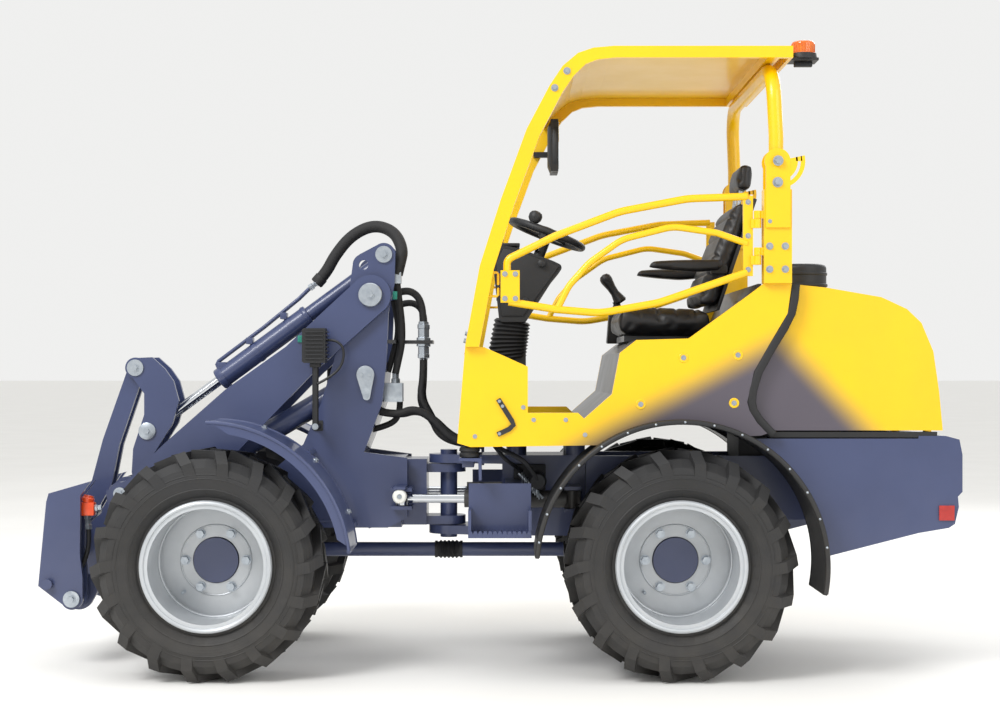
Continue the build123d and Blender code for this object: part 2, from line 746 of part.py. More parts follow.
# Hood, hinged along its rear lower edge
HOOD_FRONT_GAP = 8
with BuildPart() as hood:
    plate(
        [
            (983, 1300),
            (1099, 1288),
            (1278, 1257),
            (1362, 1218),
            (1410, 1172),
            (1449, 1078),
            (1468, 946),
            (HOOD_HINGE[0] - 4, HOOD_BOTTOM_Z),
            (903 + HOOD_FRONT_GAP, HOOD_BOTTOM_Z),
            (838 + HOOD_FRONT_GAP, 886),
            (830 + HOOD_FRONT_GAP, 914),
            (852 + HOOD_FRONT_GAP, 1012),
            (903 + HOOD_FRONT_GAP, 1102),
            (962 + HOOD_FRONT_GAP, 1202),
        ],
        -HOOD_Y,
        HOOD_Y,
    )
    plate(
        [
            (700, 1300 - HOOD_WALL),
            (983, 1300 - HOOD_WALL),
            (1097, 1276),
            (1273, 1245),
            (1353, 1208),
            (1399, 1166),
            (1437, 1075),
            (1456, 945),
            (HOOD_HINGE[0] - 4 - HOOD_WALL, HOOD_BOTTOM_Z - 10),
            (700, HOOD_BOTTOM_Z - 10),
        ],
        -HOOD_Y + HOOD_WALL,
        HOOD_Y - HOOD_WALL,
        mode=Mode.SUBTRACT,
    )
    for side in (-1, 1):
        ends = sorted((side * (230 + GAP), side * 255))
        disc(HOOD_HINGE, -ends[1], -ends[0], 7)
        block(
            (HOOD_HINGE[0] - 14, ends[0], HOOD_HINGE[1]),
            (HOOD_HINGE[0], ends[1], HOOD_BOTTOM_Z + 10),
        )
        ends = sorted((side * 200, side * 232))
        disc(HOOD_HINGE, -ends[1], -ends[0], 4)
    bar((1090, 0, 1200), (1090, 0, 1400), 92 + FIT, mode=Mode.SUBTRACT)
save(hood, "hood")

with BuildPart() as intake_cap:
    bar((1090, 0, 1270), (1090, 0, 1391), 92)
    fillet(intake_cap.faces().sort_by(Axis.Z)[-1].edges(), 15)
save(intake_cap, "intake_cap")


# Tubular half doors
with BuildPart() as door_left:
    for run, bends, radius in (
        (
            [(45, 1300), (45, 1378), (205, 1456), (414, 1535), (636, 1577), (830, 1584)],
            [25, 150, 300, 300],
            DOOR_TUBE_RADIUS,
        ),
        ([(50, 1240), (205, 1215), (349, 1203), (541, 1237), (830, 1336)], [200, 250, 250], DOOR_TUBE_RADIUS),
        (
            [(212, 1222), (247, 1292), (313, 1367), (421, 1444), (587, 1486), (731, 1465), (830, 1430)],
            [120, 150, 150, 150, 100],
            DOOR_BRACE_RADIUS,
        ),
    ):
        bent_tube([(x, -DOOR_Y, z) for x, z in run], bends, radius)
    plate([(816, 1324), (848, 1324), (848, 1586), (816, 1586)], DOOR_Y - 6, DOOR_Y + 6)
    plate([(24, 1237), (86, 1237), (86, 1342), (24, 1342)], DOOR_Y - 14, DOOR_Y + 14)
    for row in HINGE_ROWS:
        bar((DOOR_HINGE_X, -DOOR_HINGE_Y, row), (DOOR_HINGE_X, -DOOR_HINGE_Y, row + HINGE_LENGTH), HINGE_RADIUS)
        block((840, -DOOR_HINGE_Y - 4, row), (DOOR_HINGE_X, -DOOR_Y - 4, row + HINGE_LENGTH))
        bar(
            (DOOR_HINGE_X, -DOOR_HINGE_Y, row - 1),
            (DOOR_HINGE_X, -DOOR_HINGE_Y, row + HINGE_LENGTH + 1),
            HINGE_PIN_RADIUS + FIT,
            mode=Mode.SUBTRACT,
        )
save(door_left, "door_left")
save_mirrored(door_left, "door_right")


# Front frame: tower plates, cross members, pivot tongue and steering brackets
TONGUE_RADIUS = 60
TONGUE_PLATE = 30
HOUSING_X = (-330, -235)
HOUSING_Y = 90
TOWER_REAR_X = -300
BOOM_PIN_RADIUS = 25
LIFT_BASE_RADIUS = 20
EYE_PIN_RADIUS = 20
TOWER_TOP_Z = 712


def tongue(z):
    """Plate with a round end about the steering pivot, between the yoke plates."""
    with BuildSketch(Plane.XY.offset(z)) as sketch:
        with Locations((PIVOT_X, 0)):
            Circle(TONGUE_RADIUS)
        with Locations(((HOUSING_X[1] + PIVOT_X) / 2 - 10, 0)):
            Rectangle(PIVOT_X - HOUSING_X[1] + 20, 2 * TONGUE_RADIUS)
    extrude(sketch.sketch, amount=TONGUE_PLATE)


with BuildPart() as front_chassis:
    plate(
        [
            (-1060, FRONT_FRAME_BOTTOM),
            (-1060, 560),
            (-800, 640),
            (-660, 760),
            (-600, 900),
            (-545, 1080),
            (-500, 1300),
            (SPARE_HOLE[0] - 38, SPARE_HOLE[1]),
            (SPARE_HOLE[0] - 15, SPARE_HOLE[1] + 36),
            (TILT_BASE[0] - 15, TILT_BASE[1] + 37),
            (TILT_BASE[0] + 40, TILT_BASE[1]),
            (-344, 1315),
            (-365, 1215),
            (-372, 1045),
            (-387, 902),
            (-432, 778),
            (-450, 732),
            (TOWER_REAR_X, TOWER_TOP_Z),
            (TOWER_REAR_X, 504),
            (-368, FRONT_FRAME_BOTTOM),
        ],
        TOWER_INNER_Y,
        TOWER_OUTER_Y,
    )
    disc(SPARE_HOLE, TOWER_INNER_Y, TOWER_OUTER_Y, 38)
    disc(TILT_BASE, TOWER_INNER_Y, TOWER_OUTER_Y, 40)
    disc(SPARE_HOLE, TOWER_INNER_Y, TOWER_OUTER_Y, 17, mode=Mode.SUBTRACT)
    disc(TILT_BASE, TOWER_INNER_Y, TOWER_OUTER_Y, EYE_PIN_RADIUS + FIT, mode=Mode.SUBTRACT)
    for z in (STEER_Z - 37, STEER_Z + 25):
        block((STEER_ROD_X - 36, -STEER_ROD_Y - 35, z), (STEER_ROD_X + 36, -TOWER_INNER_Y, z + 12))
    mirror(about=Plane.XZ)
    block((-1060, -TOWER_INNER_Y, FRONT_FRAME_BOTTOM), (-320, TOWER_INNER_Y, FRONT_FRAME_BOTTOM + 20))
    block((-330, -TOWER_OUTER_Y, FRONT_FRAME_BOTTOM + 34), (-310, TOWER_OUTER_Y, TOWER_TOP_Z))
    block((-465, -TOWER_INNER_Y, TOWER_TOP_Z - 20), (-310, TOWER_INNER_Y, TOWER_TOP_Z))
    plate(
        [
            (-450, 732),
            (-432, 778),
            (-387, 902),
            (-372, 1045),
            (-382, 1045),
            (-397, 904),
            (-442, 781),
            (-460, 712),
            (-450, 712),
        ],
        -TOWER_INNER_Y,
        TOWER_INNER_Y,
    )
    block((HOUSING_X[0], -HOUSING_Y, FRONT_FRAME_BOTTOM + 5), (HOUSING_X[1], HOUSING_Y, TOWER_TOP_Z - 7))
    tongue(YOKE_LOW_Z + YOKE_THICKNESS + 3)
    tongue(YOKE_HIGH_Z - YOKE_THICKNESS - 3 - TONGUE_PLATE)
    with Locations((PIVOT_X, 0, (YOKE_LOW_Z + YOKE_HIGH_Z) / 2)):
        Cylinder(PIVOT_RADIUS + FIT, YOKE_HIGH_Z - YOKE_LOW_Z, mode=Mode.SUBTRACT)
    disc(LIFT_BASE, -TOWER_OUTER_Y - 8, TOWER_OUTER_Y + 8, LIFT_BASE_RADIUS)
    disc(BOOM_PIVOT, -BOOM_OUTER_Y - 12, BOOM_OUTER_Y + 12, BOOM_PIN_RADIUS)
    for side in (-1, 1):
        ends = sorted((side * (BOOM_OUTER_Y + GAP), side * (BOOM_OUTER_Y + 9)))
        disc(BOOM_PIVOT, -ends[1], -ends[0], 42)
save(front_chassis, "front_chassis")

with BuildPart() as front_fenders:
    extrude(
        arc_band(FRONT_WHEEL, FENDER_RADIUS, FENDER_RADIUS + FENDER_SHEET, 6, 84, -FENDER_INNER_Y),
        amount=FENDER_OUTER_Y - FENDER_INNER_Y,
    )
    block((-500, -FENDER_INNER_Y - 30, 475), (-474, -TOWER_OUTER_Y, 495))
    disc((-628, 733), TOWER_OUTER_Y, FENDER_INNER_Y + 10, 12)
    mirror(about=Plane.XZ)
save(front_fenders, "front_fenders")

LAMP_X = -608
LAMP_Y = 240
LAMP_FOOT_Z = 824
with BuildPart() as work_lamps:
    bar((LAMP_X, -TOWER_OUTER_Y, LAMP_FOOT_Z), (LAMP_X, -LAMP_Y, LAMP_FOOT_Z), 11)
    bar((LAMP_X, -LAMP_Y, LAMP_FOOT_Z - 11), (LAMP_X, -LAMP_Y, 1045), 11)
    block((LAMP_X - 38, -LAMP_Y - 35, 1041), (LAMP_X + 37, -LAMP_Y + 35, 1159))
    mirror(about=Plane.XZ)
save(work_lamps, "work_lamps")

with BuildPart() as hose_bracket:
    block((-368.8, -TOWER_OUTER_Y, 1110), (-340, TOWER_OUTER_Y, 1122))
    block((-340, -60, 1110), (-215, 60, 1122))
    for y in (-40, 0, 40):
        bar((-250, y, 1060), (-250, y, 1180), 16)
save(hose_bracket, "hose_bracket")


# Boom: two plates outside the tower, joined by a cross tube
CRANK_PIN_RADIUS = 22
HITCH_PIN_RADIUS = 20
BOOM_TUBE = (-800, 960)
with BuildPart() as boom:
    plate(
        [
            (-474, 1325),
            (-585, 1222),
            (-717, 1098),
            (-928, 948),
            (-1133, 767),
            (-1262, 640),
            (-1338, 600),
            (-1330, 520),
            (-1318, 462),
            (-1384, 320),
            (-1465, 275),
            (-1384, 222),
            (-1262, 440),
            (-1150, 560),
            (-1020, 605),
            (-950, 640),
            (-880, 740),
            (-623, 1007),
            (-376, 1227),
        ],
        BOOM_INNER_Y,
        BOOM_OUTER_Y,
    )
    disc(BOOM_PIVOT, BOOM_INNER_Y, BOOM_OUTER_Y, 70)
    disc(HITCH_PIVOT, BOOM_INNER_Y, BOOM_OUTER_Y, 50)
    disc(LIFT_PIN, BOOM_INNER_Y - 46, BOOM_OUTER_Y, 40)
    disc(CRANK_PIVOT, CRANK_OUTER_Y + 2, BOOM_OUTER_Y, 40)
    disc(BOOM_PIVOT, BOOM_INNER_Y, BOOM_OUTER_Y, BOOM_PIN_RADIUS + FIT, mode=Mode.SUBTRACT)
    disc(HITCH_PIVOT, BOOM_INNER_Y, BOOM_OUTER_Y, HITCH_PIN_RADIUS + FIT, mode=Mode.SUBTRACT)
    disc(CRANK_PIVOT, CRANK_OUTER_Y, BOOM_OUTER_Y, CRANK_PIN_RADIUS + FIT, mode=Mode.SUBTRACT)
    mirror(about=Plane.XZ)
    disc(BOOM_TUBE, -BOOM_INNER_Y, BOOM_INNER_Y, 40)
save(boom, "boom")

with BuildPart() as hitch_pins:
    disc(HITCH_PIVOT, BOOM_INNER_Y - 6, HITCH_OUTER_Y + 6, HITCH_PIN_RADIUS)
    disc(HITCH_PIVOT, HITCH_OUTER_Y + FIT, HITCH_OUTER_Y + 9, 28)
    mirror(about=Plane.XZ)
save(hitch_pins, "hitch_pins")

hitch_side = [
    (HITCH_FRONT_X, 284),
    (-1518, 569),
    (-1510, 598),
    (-1368, 639),
    (-1402, 590),
    (-1404, 395),
    (-1395, 311),
    (-1395, 240),
    (-1431, 205),
    (-1455, 215),
]
with BuildPart() as quick_hitch:
    for inner in (HITCH_INNER_Y, HITCH_OUTER_Y - HITCH_PLATE):
        plate(hitch_side, inner, inner + HITCH_PLATE)
        disc(HITCH_PIVOT, inner, inner + HITCH_PLATE, 37)
    disc((-1486, 569), HITCH_INNER_Y, HITCH_OUTER_Y, 18)
    disc((-1510, 292), HITCH_INNER_Y, HITCH_OUTER_Y + 22, 17)
    disc(HITCH_PIVOT, HITCH_INNER_Y, HITCH_OUTER_Y, HITCH_PIN_RADIUS + FIT, mode=Mode.SUBTRACT)
    mirror(about=Plane.XZ)
    plate(
        [(-1538, 330), (-1523, 480), (-1508, 480), (-1523, 330)],
        -HITCH_OUTER_Y + HITCH_PLATE,
        HITCH_OUTER_Y - HITCH_PLATE,
    )
    plate([(-1520, 400), (-1512, 480), (-1450, 545), (-1410, 535), (-1410, 500), (-1440, 470)], -22, 22)
    disc(HITCH_LINK, -22, 22, 32)
save(quick_hitch, "quick_hitch")

with BuildPart() as crank_pins:
    disc(CRANK_PIVOT, CRANK_INNER_Y - FIT, BOOM_OUTER_Y + 6, CRANK_PIN_RADIUS)
    disc(CRANK_PIVOT, LINK_OUTER_Y + 2, CRANK_INNER_Y - FIT, 32)
    mirror(about=Plane.XZ)
save(crank_pins, "crank_pins")

TOP_PIN_RADIUS = 16
with BuildPart() as bell_crank:
    plate(
        [
            (-1275, 656),
            (-1270, 740),
            (-1231, 860),
            (-1231, 934),
            (-1290, 1015),
            (-1250, 1060),
            (-1203, 1062),
            (-1159, 1022),
            (-1128, 978),
            (-1109, 909),
            (-1131, 828),
            (-1216, 691),
            (-1245, 560),
        ],
        CRANK_INNER_Y,
        CRANK_OUTER_Y,
    )
    disc(CRANK_TOP, CRANK_INNER_Y, CRANK_OUTER_Y, 36)
    disc(CRANK_PIVOT, CRANK_INNER_Y, CRANK_OUTER_Y, 52)
    disc(CRANK_ROD, CRANK_OUTER_Y, CRANK_OUTER_Y + 6, 29)
    disc(CRANK_TOP, CRANK_INNER_Y, CRANK_OUTER_Y, TOP_PIN_RADIUS + FIT, mode=Mode.SUBTRACT)
    disc(CRANK_PIVOT, CRANK_INNER_Y, CRANK_OUTER_Y, CRANK_PIN_RADIUS + FIT, mode=Mode.SUBTRACT)
    mirror(about=Plane.XZ)
save(bell_crank, "bell_crank")

with BuildPart() as link_pin:
    disc(CRANK_TOP, -CRANK_OUTER_Y - 6, CRANK_OUTER_Y + 6, TOP_PIN_RADIUS)
    for side in (-1, 1):
        ends = sorted((side * (CRANK_OUTER_Y + FIT), side * (CRANK_OUTER_Y + 6)))
        disc(CRANK_TOP, -ends[1], -ends[0], 29)
save(link_pin, "link_pin")

LINK_HALF = 30
with BuildPart() as tilt_link:
    plate(
        [
            (CRANK_TOP[0] - 28, CRANK_TOP[1] + 8),
            (-1382, 772),
            (-1420, 630),
            (HITCH_LINK[0] - LINK_HALF, HITCH_LINK[1]),
            (HITCH_LINK[0] + LINK_HALF, HITCH_LINK[1]),
            (-1352, 610),
            (-1324, 752),
            (CRANK_TOP[0] + 28, CRANK_TOP[1] - 10),
        ],
        LINK_INNER_Y,
        LINK_OUTER_Y,
    )
    disc(CRANK_TOP, LINK_INNER_Y, LINK_OUTER_Y, LINK_HALF)
    disc(HITCH_LINK, LINK_INNER_Y, LINK_OUTER_Y, LINK_HALF)
    disc(CRANK_TOP, LINK_INNER_Y, LINK_OUTER_Y, TOP_PIN_RADIUS + FIT, mode=Mode.SUBTRACT)
    mirror(about=Plane.XZ)
    plate([(-1406, 640), (-1396, 690), (-1356, 682), (-1366, 632)], -LINK_INNER_Y, LINK_INNER_Y)
save(tilt_link, "tilt_link")


# Cylinders: hollow barrels on their base pins, rods with eyes at the far end
LIFT_BARREL_RADIUS = 36
LIFT_BARREL_LENGTH = 520
LIFT_ROD_RADIUS = 22
LIFT_TAIL = 66
with BuildPart() as lift_barrels:
    disc(LIFT_BASE, LIFT_Y - LIFT_EYE_WIDTH / 2, LIFT_Y + LIFT_EYE_WIDTH / 2, 38)
    bar(
        at_side(along(LIFT_BASE, LIFT_PIN, 25), -LIFT_Y),
        at_side(along(LIFT_BASE, LIFT_PIN, LIFT_BARREL_LENGTH), -LIFT_Y),
        LIFT_BARREL_RADIUS,
    )
    bar(
        at_side(along(LIFT_BASE, LIFT_PIN, LIFT_TAIL - 6), -LIFT_Y),
        at_side(along(LIFT_BASE, LIFT_PIN, LIFT_BARREL_LENGTH + 1), -LIFT_Y),
        LIFT_ROD_RADIUS + FIT,
        mode=Mode.SUBTRACT,
    )
    disc(LIFT_BASE, LIFT_Y - 60, LIFT_Y + 60, LIFT_BASE_RADIUS + FIT, mode=Mode.SUBTRACT)
    mirror(about=Plane.XZ)
save(lift_barrels, "lift_barrels")

with BuildPart() as lift_rods:
    bar(at_side(along(LIFT_BASE, LIFT_PIN, LIFT_TAIL), -LIFT_Y), at_side(LIFT_PIN, -LIFT_Y), LIFT_ROD_RADIUS)
    disc(LIFT_PIN, LIFT_Y - LIFT_EYE_WIDTH / 2, LIFT_Y + LIFT_EYE_WIDTH / 2, 38)
    mirror(about=Plane.XZ)
save(lift_rods, "lift_rods")

with BuildPart() as tilt_base_pin:
    disc(TILT_BASE, -TOWER_OUTER_Y - 8, TOWER_OUTER_Y + 8, EYE_PIN_RADIUS)
    for side in (-1, 1):
        ends = sorted((side * (TOWER_OUTER_Y + FIT), side * (TOWER_OUTER_Y + 8)))
        disc(TILT_BASE, -ends[1], -ends[0], 29)
save(tilt_base_pin, "tilt_base_pin")

TILT_NECK_RADIUS = 26.5
TILT_NECK_END = 347
TILT_BARREL_RADIUS = 36
TILT_BARREL_END = 737
TILT_ROD_RADIUS = 18
TILT_BORE_START = 350
TILT_TAIL = 460
with BuildPart() as tilt_barrel:
    disc(TILT_BASE, -30, 30, 40)
    bar(
        at_side(along(TILT_BASE, CRANK_ROD, 25), 0),
        at_side(along(TILT_BASE, CRANK_ROD, TILT_NECK_END), 0),
        TILT_NECK_RADIUS,
    )
    bar(
        at_side(along(TILT_BASE, CRANK_ROD, TILT_NECK_END), 0),
        at_side(along(TILT_BASE, CRANK_ROD, TILT_BARREL_END), 0),
        TILT_BARREL_RADIUS,
    )
    bar(
        at_side(along(TILT_BASE, CRANK_ROD, TILT_BORE_START), 0),
        at_side(along(TILT_BASE, CRANK_ROD, TILT_BARREL_END + 1), 0),
        TILT_ROD_RADIUS + FIT,
        mode=Mode.SUBTRACT,
    )
    disc(TILT_BASE, -31, 31, EYE_PIN_RADIUS + FIT, mode=Mode.SUBTRACT)
save(tilt_barrel, "tilt_barrel")

with BuildPart() as tilt_rod:
    bar(at_side(along(TILT_BASE, CRANK_ROD, TILT_TAIL), 0), at_side(CRANK_ROD, 0), TILT_ROD_RADIUS)
    disc(CRANK_ROD, -ROD_EYE_Y, ROD_EYE_Y, 35)
save(tilt_rod, "tilt_rod")

STEER_TAIL = 190
steer_base = Vector(STEER_BASE_X, -STEER_BASE_Y, STEER_Z)
steer_eye = Vector(STEER_ROD_X, -STEER_ROD_Y, STEER_Z)
steer_way = (steer_eye - steer_base).normalized()
with BuildPart() as steer_barrel_left:
    with Locations(steer_base):
        Cylinder(30, 2 * STEER_BARREL_RADIUS)
    bar(tuple(steer_base + steer_way * 20), tuple(steer_base + steer_way * STEER_BARREL_LENGTH), STEER_BARREL_RADIUS)
    bar(
        tuple(steer_base + steer_way * 40),
        tuple(steer_base + steer_way * (STEER_BARREL_LENGTH + 1)),
        STEER_ROD_RADIUS + FIT,
        mode=Mode.SUBTRACT,
    )
    with Locations(steer_base):
        Cylinder(14 + FIT, 2 * STEER_BARREL_RADIUS + 2, mode=Mode.SUBTRACT)
save(steer_barrel_left, "steer_barrel_left")
save_mirrored(steer_barrel_left, "steer_barrel_right")

with BuildPart() as steer_rod_left:
    bar(tuple(steer_base + steer_way * STEER_TAIL), tuple(steer_eye), STEER_ROD_RADIUS)
    with Locations(steer_eye):
        Cylinder(26, 44)
save(steer_rod_left, "steer_rod_left")
save_mirrored(steer_rod_left, "steer_rod_right")
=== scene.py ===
"""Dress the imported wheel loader: paint, rubber, fittings, hoses and a padded seat around the solids."""

import json
import logging
import math
from dataclasses import dataclass
from enum import Enum
from typing import Iterable, Optional, Sequence

import bmesh
import bpy
import numpy as np
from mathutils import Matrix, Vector


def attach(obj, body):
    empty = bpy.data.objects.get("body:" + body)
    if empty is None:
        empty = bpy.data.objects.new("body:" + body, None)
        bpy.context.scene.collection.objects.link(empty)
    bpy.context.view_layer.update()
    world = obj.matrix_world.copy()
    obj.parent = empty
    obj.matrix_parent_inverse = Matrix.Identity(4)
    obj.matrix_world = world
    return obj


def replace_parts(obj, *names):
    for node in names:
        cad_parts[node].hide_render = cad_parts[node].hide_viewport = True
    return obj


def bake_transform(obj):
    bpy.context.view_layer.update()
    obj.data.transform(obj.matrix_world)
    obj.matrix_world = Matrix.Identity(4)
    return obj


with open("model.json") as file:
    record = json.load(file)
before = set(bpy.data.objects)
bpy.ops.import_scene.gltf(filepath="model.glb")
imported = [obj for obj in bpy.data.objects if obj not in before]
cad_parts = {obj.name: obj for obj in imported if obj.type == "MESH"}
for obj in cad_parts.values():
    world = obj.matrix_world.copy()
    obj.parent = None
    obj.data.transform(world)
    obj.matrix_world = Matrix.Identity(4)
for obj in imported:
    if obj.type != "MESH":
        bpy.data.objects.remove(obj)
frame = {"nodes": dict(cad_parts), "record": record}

Point = Sequence[float]
Pair = tuple[float, float]
Spot = tuple[Point, Point]
Tree = bpy.types.NodeTree
Socket = bpy.types.NodeSocket

LOG = logging.getLogger("wheel_loader")
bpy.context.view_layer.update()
MM = 0.001
NODES = frame["nodes"]
DUST = "#A79C8A"
DUST_PATCH_MM = 70
DUST_TOP_M = 0.9
DUST_FULL_M = 0.1
COAT_ROUGHNESS = 0.08
BUMP_STRENGTH = 0.6
MOULD_RING_SHARE = 0.55
CLOUD_RANGE = (0.35, 0.65)
GLOSS_RANGE = (0.3, 0.7)
OVAL_POWER = 0.55
MIRROR_POWER = 0.5
MERGE_MM = 0.01


def mm(point: Point) -> Vector:
    """Turn a point in millimetres into a vector in metres."""
    return Vector(point) * MM


def linear(colour: str) -> tuple[float, float, float, float]:
    """Turn an sRGB hex colour into linear RGBA.

    Args:
        colour: six hex digits after a hash sign.

    Returns:
        The colour as four linear numbers.
    """
    values = [int(colour[i : i + 2], 16) / 255 for i in (1, 3, 5)]
    bent = [v / 12.92 if v <= 0.04045 else ((v + 0.055) / 1.055) ** 2.4 for v in values]
    return (bent[0], bent[1], bent[2], 1.0)


def add_node(tree: Tree, kind: str, settings: Optional[dict] = None, **inputs) -> bpy.types.Node:
    """Add a node with its settings, values and links.

    Args:
        tree: node tree to add to.
        kind: Blender's name for the node.
        settings: properties of the node.
        **inputs: value or socket for each input; in0, in1 and so on name an input by its place.

    Returns:
        The new node.
    """
    node = tree.nodes.new(kind)
    for key, value in (settings or {}).items():
        setattr(node, key, value)
    for key, value in inputs.items():
        place = key[2:] if key.startswith("in") and key[2:].isdigit() else ""
        socket = node.inputs[int(place)] if place else node.inputs[key.replace("_", " ")]
        if isinstance(value, Socket):
            tree.links.new(value, socket)
        else:
            socket.default_value = value
    return node


def show(name: str, data: bpy.types.ID) -> bpy.types.Object:
    """Make an object of a mesh, curve, lamp or camera and link it to the scene."""
    holder = bpy.data.objects.new(name, data)
    bpy.context.scene.collection.objects.link(holder)
    return holder


def frozen(holder: bpy.types.Object) -> bpy.types.Mesh:
    """New mesh of an object as its modifiers leave it."""
    return bpy.data.meshes.new_from_object(holder.evaluated_get(bpy.context.evaluated_depsgraph_get()))


class Grain(Enum):
    """Surface relief that a way of making leaves behind."""

    PEEL = "fine ripple of sprayed enamel"
    PEBBLE = "pebbled grain of a mould or of vinyl"
    DRAWN = "lines left by turning or drawing"
    CAST = "sand-cast skin"
    BRAID = "crossed yarns of a braided sleeve"


BUILT: dict[str, bpy.types.Material] = {}


@dataclass(frozen=True)
class Finish:
    """One real surface: its slot, colours, gloss and relief, with sizes in millimetres."""

    name: str
    slot: str
    colour: str
    shade: str
    roughness: float
    grain: Grain
    grain_mm: float
    relief_mm: float
    metallic: float = 0.0
    coat: float = 0.0
    mottle_mm: float = 260.0
    spread: float = 0.06
    dust: float = 0.0
    clear: float = 0.0

    @property
    def material(self) -> bpy.types.Material:
        """The finish as a material, built when first asked for."""
        if self.name not in BUILT:
            BUILT[self.name] = self.build()
        return BUILT[self.name]

    def build(self) -> bpy.types.Material:
        """Build the material's nodes and return the material."""
        material = bpy.data.materials.new(self.name)
        material.use_nodes = True
        tree = material.node_tree
        tree.nodes.clear()
        place = add_node(tree, "ShaderNodeTexCoord").outputs["Object"]
        cloud = add_node(
            tree, "ShaderNodeTexNoise", Vector=place, Scale=1000 / self.mottle_mm, Detail=5.0, Roughness=0.6
        ).outputs["Fac"]
        dull = max(0.02, self.roughness - self.spread)
        bright = min(1.0, self.roughness + self.spread)
        low, high = GLOSS_RANGE
        gloss = add_node(tree, "ShaderNodeMapRange", in0=cloud, in1=low, in2=high, in3=dull, in4=bright)
        relief = self.relief(tree, place)
        depth = self.relief_mm * MM
        bump = add_node(tree, "ShaderNodeBump", Strength=BUMP_STRENGTH, Distance=depth, Height=relief)
        skin = add_node(
            tree, "ShaderNodeBsdfPrincipled", Base_Color=self.tint(tree, place, cloud),
            Roughness=gloss.outputs[0], Normal=bump.outputs[0], Metallic=self.metallic,
            Coat_Weight=self.coat, Coat_Roughness=COAT_ROUGHNESS, Transmission_Weight=self.clear,
        )
        add_node(tree, "ShaderNodeOutputMaterial", Surface=skin.outputs[0])
        material.diffuse_color = linear(self.colour)
        return material

    def tint(self, tree: Tree, place: Socket, cloud: Socket) -> Socket:
        """Mix the two colours by a soft cloud, with dust low on the machine.

        Args:
            tree: the material's nodes.
            place: object coordinates.
            cloud: noise from 0 to 1.

        Returns:
            The colour socket.
        """
        spread = add_node(tree, "ShaderNodeMapRange", in0=cloud, in1=CLOUD_RANGE[0], in2=CLOUD_RANGE[1])
        mixed = add_node(
            tree, "ShaderNodeMix", {"data_type": "RGBA"}, Factor=spread.outputs[0], in6=linear(self.colour),
            in7=linear(self.shade),
        ).outputs[2]
        if not self.dust:
            return mixed
        height = add_node(tree, "ShaderNodeSeparateXYZ", Vector=place).outputs["Z"]
        low = add_node(
            tree, "ShaderNodeMapRange", in0=height, in1=DUST_TOP_M, in2=DUST_FULL_M, in3=0.0, in4=self.dust
        )
        patch = add_node(tree, "ShaderNodeTexNoise", Vector=place, Scale=1000 / DUST_PATCH_MM, Detail=6.0)
        share = add_node(
            tree, "ShaderNodeMath", {"operation": "MULTIPLY"}, in0=low.outputs[0], in1=patch.outputs["Fac"]
        )
        dusty = add_node(
            tree, "ShaderNodeMix", {"data_type": "RGBA"}, Factor=share.outputs[0], in6=mixed, in7=linear(DUST)
        )
        return dusty.outputs[2]

    def relief(self, tree: Tree, place: Socket) -> Socket:
        """Height pattern for the bump.

        Args:
            tree: the material's nodes.
            place: object coordinates.

        Returns:
            The height socket.
        """
        scale = 1000 / self.grain_mm
        if self.grain is Grain.PEBBLE:
            style = {"feature": "SMOOTH_F1"}
            pebbles = add_node(tree, "ShaderNodeTexVoronoi", style, Vector=place, Scale=scale)
            return pebbles.outputs["Distance"]
        if self.grain is Grain.BRAID:
            turned = add_node(tree, "ShaderNodeMapping", Vector=place, Rotation=(0.5, 0.8, 0.4)).outputs[0]
            style = {"distance": "CHEBYCHEV"}
            strands = add_node(tree, "ShaderNodeTexVoronoi", style, Vector=turned, Scale=scale)
            return strands.outputs["Distance"]
        detail = 8.0 if self.grain is Grain.CAST else 2.0
        if self.grain is Grain.DRAWN:
            place = add_node(tree, "ShaderNodeMapping", Vector=place, Scale=(1.0, 12.0, 1.0)).outputs[0]
            detail = 3.0
        return add_node(tree, "ShaderNodeTexNoise", Vector=place, Scale=scale, Detail=detail).outputs["Fac"]


@dataclass(frozen=True)
class FadedFinish(Finish):
    """Enamel that fades to a second colour across a slanting line in X and Z, in millimetres."""

    second: str = "#544E58"
    across: Pair = (1.0, 0.0)
    start: float = 0.0
    end: float = 100.0

    def tint(self, tree: Tree, place: Socket, cloud: Socket) -> Socket:
        """Plain enamel, then the second colour beyond the line.

        Args:
            tree: the material's nodes.
            place: object coordinates.
            cloud: noise from 0 to 1.

        Returns:
            The colour socket.
        """
        plain = super().tint(tree, place, cloud)
        way = (self.across[0], 0.0, self.across[1])
        reach = add_node(tree, "ShaderNodeVectorMath", {"operation": "DOT_PRODUCT"}, in0=place, in1=way)
        fade = add_node(
            tree, "ShaderNodeMapRange", {"interpolation_type": "SMOOTHSTEP"}, in0=reach.outputs["Value"],
            in1=self.start * MM, in2=self.end * MM,
        )
        mixed = add_node(
            tree, "ShaderNodeMix", {"data_type": "RGBA"}, Factor=fade.outputs[0], in6=plain,
            in7=linear(self.second),
        )
        return mixed.outputs[2]


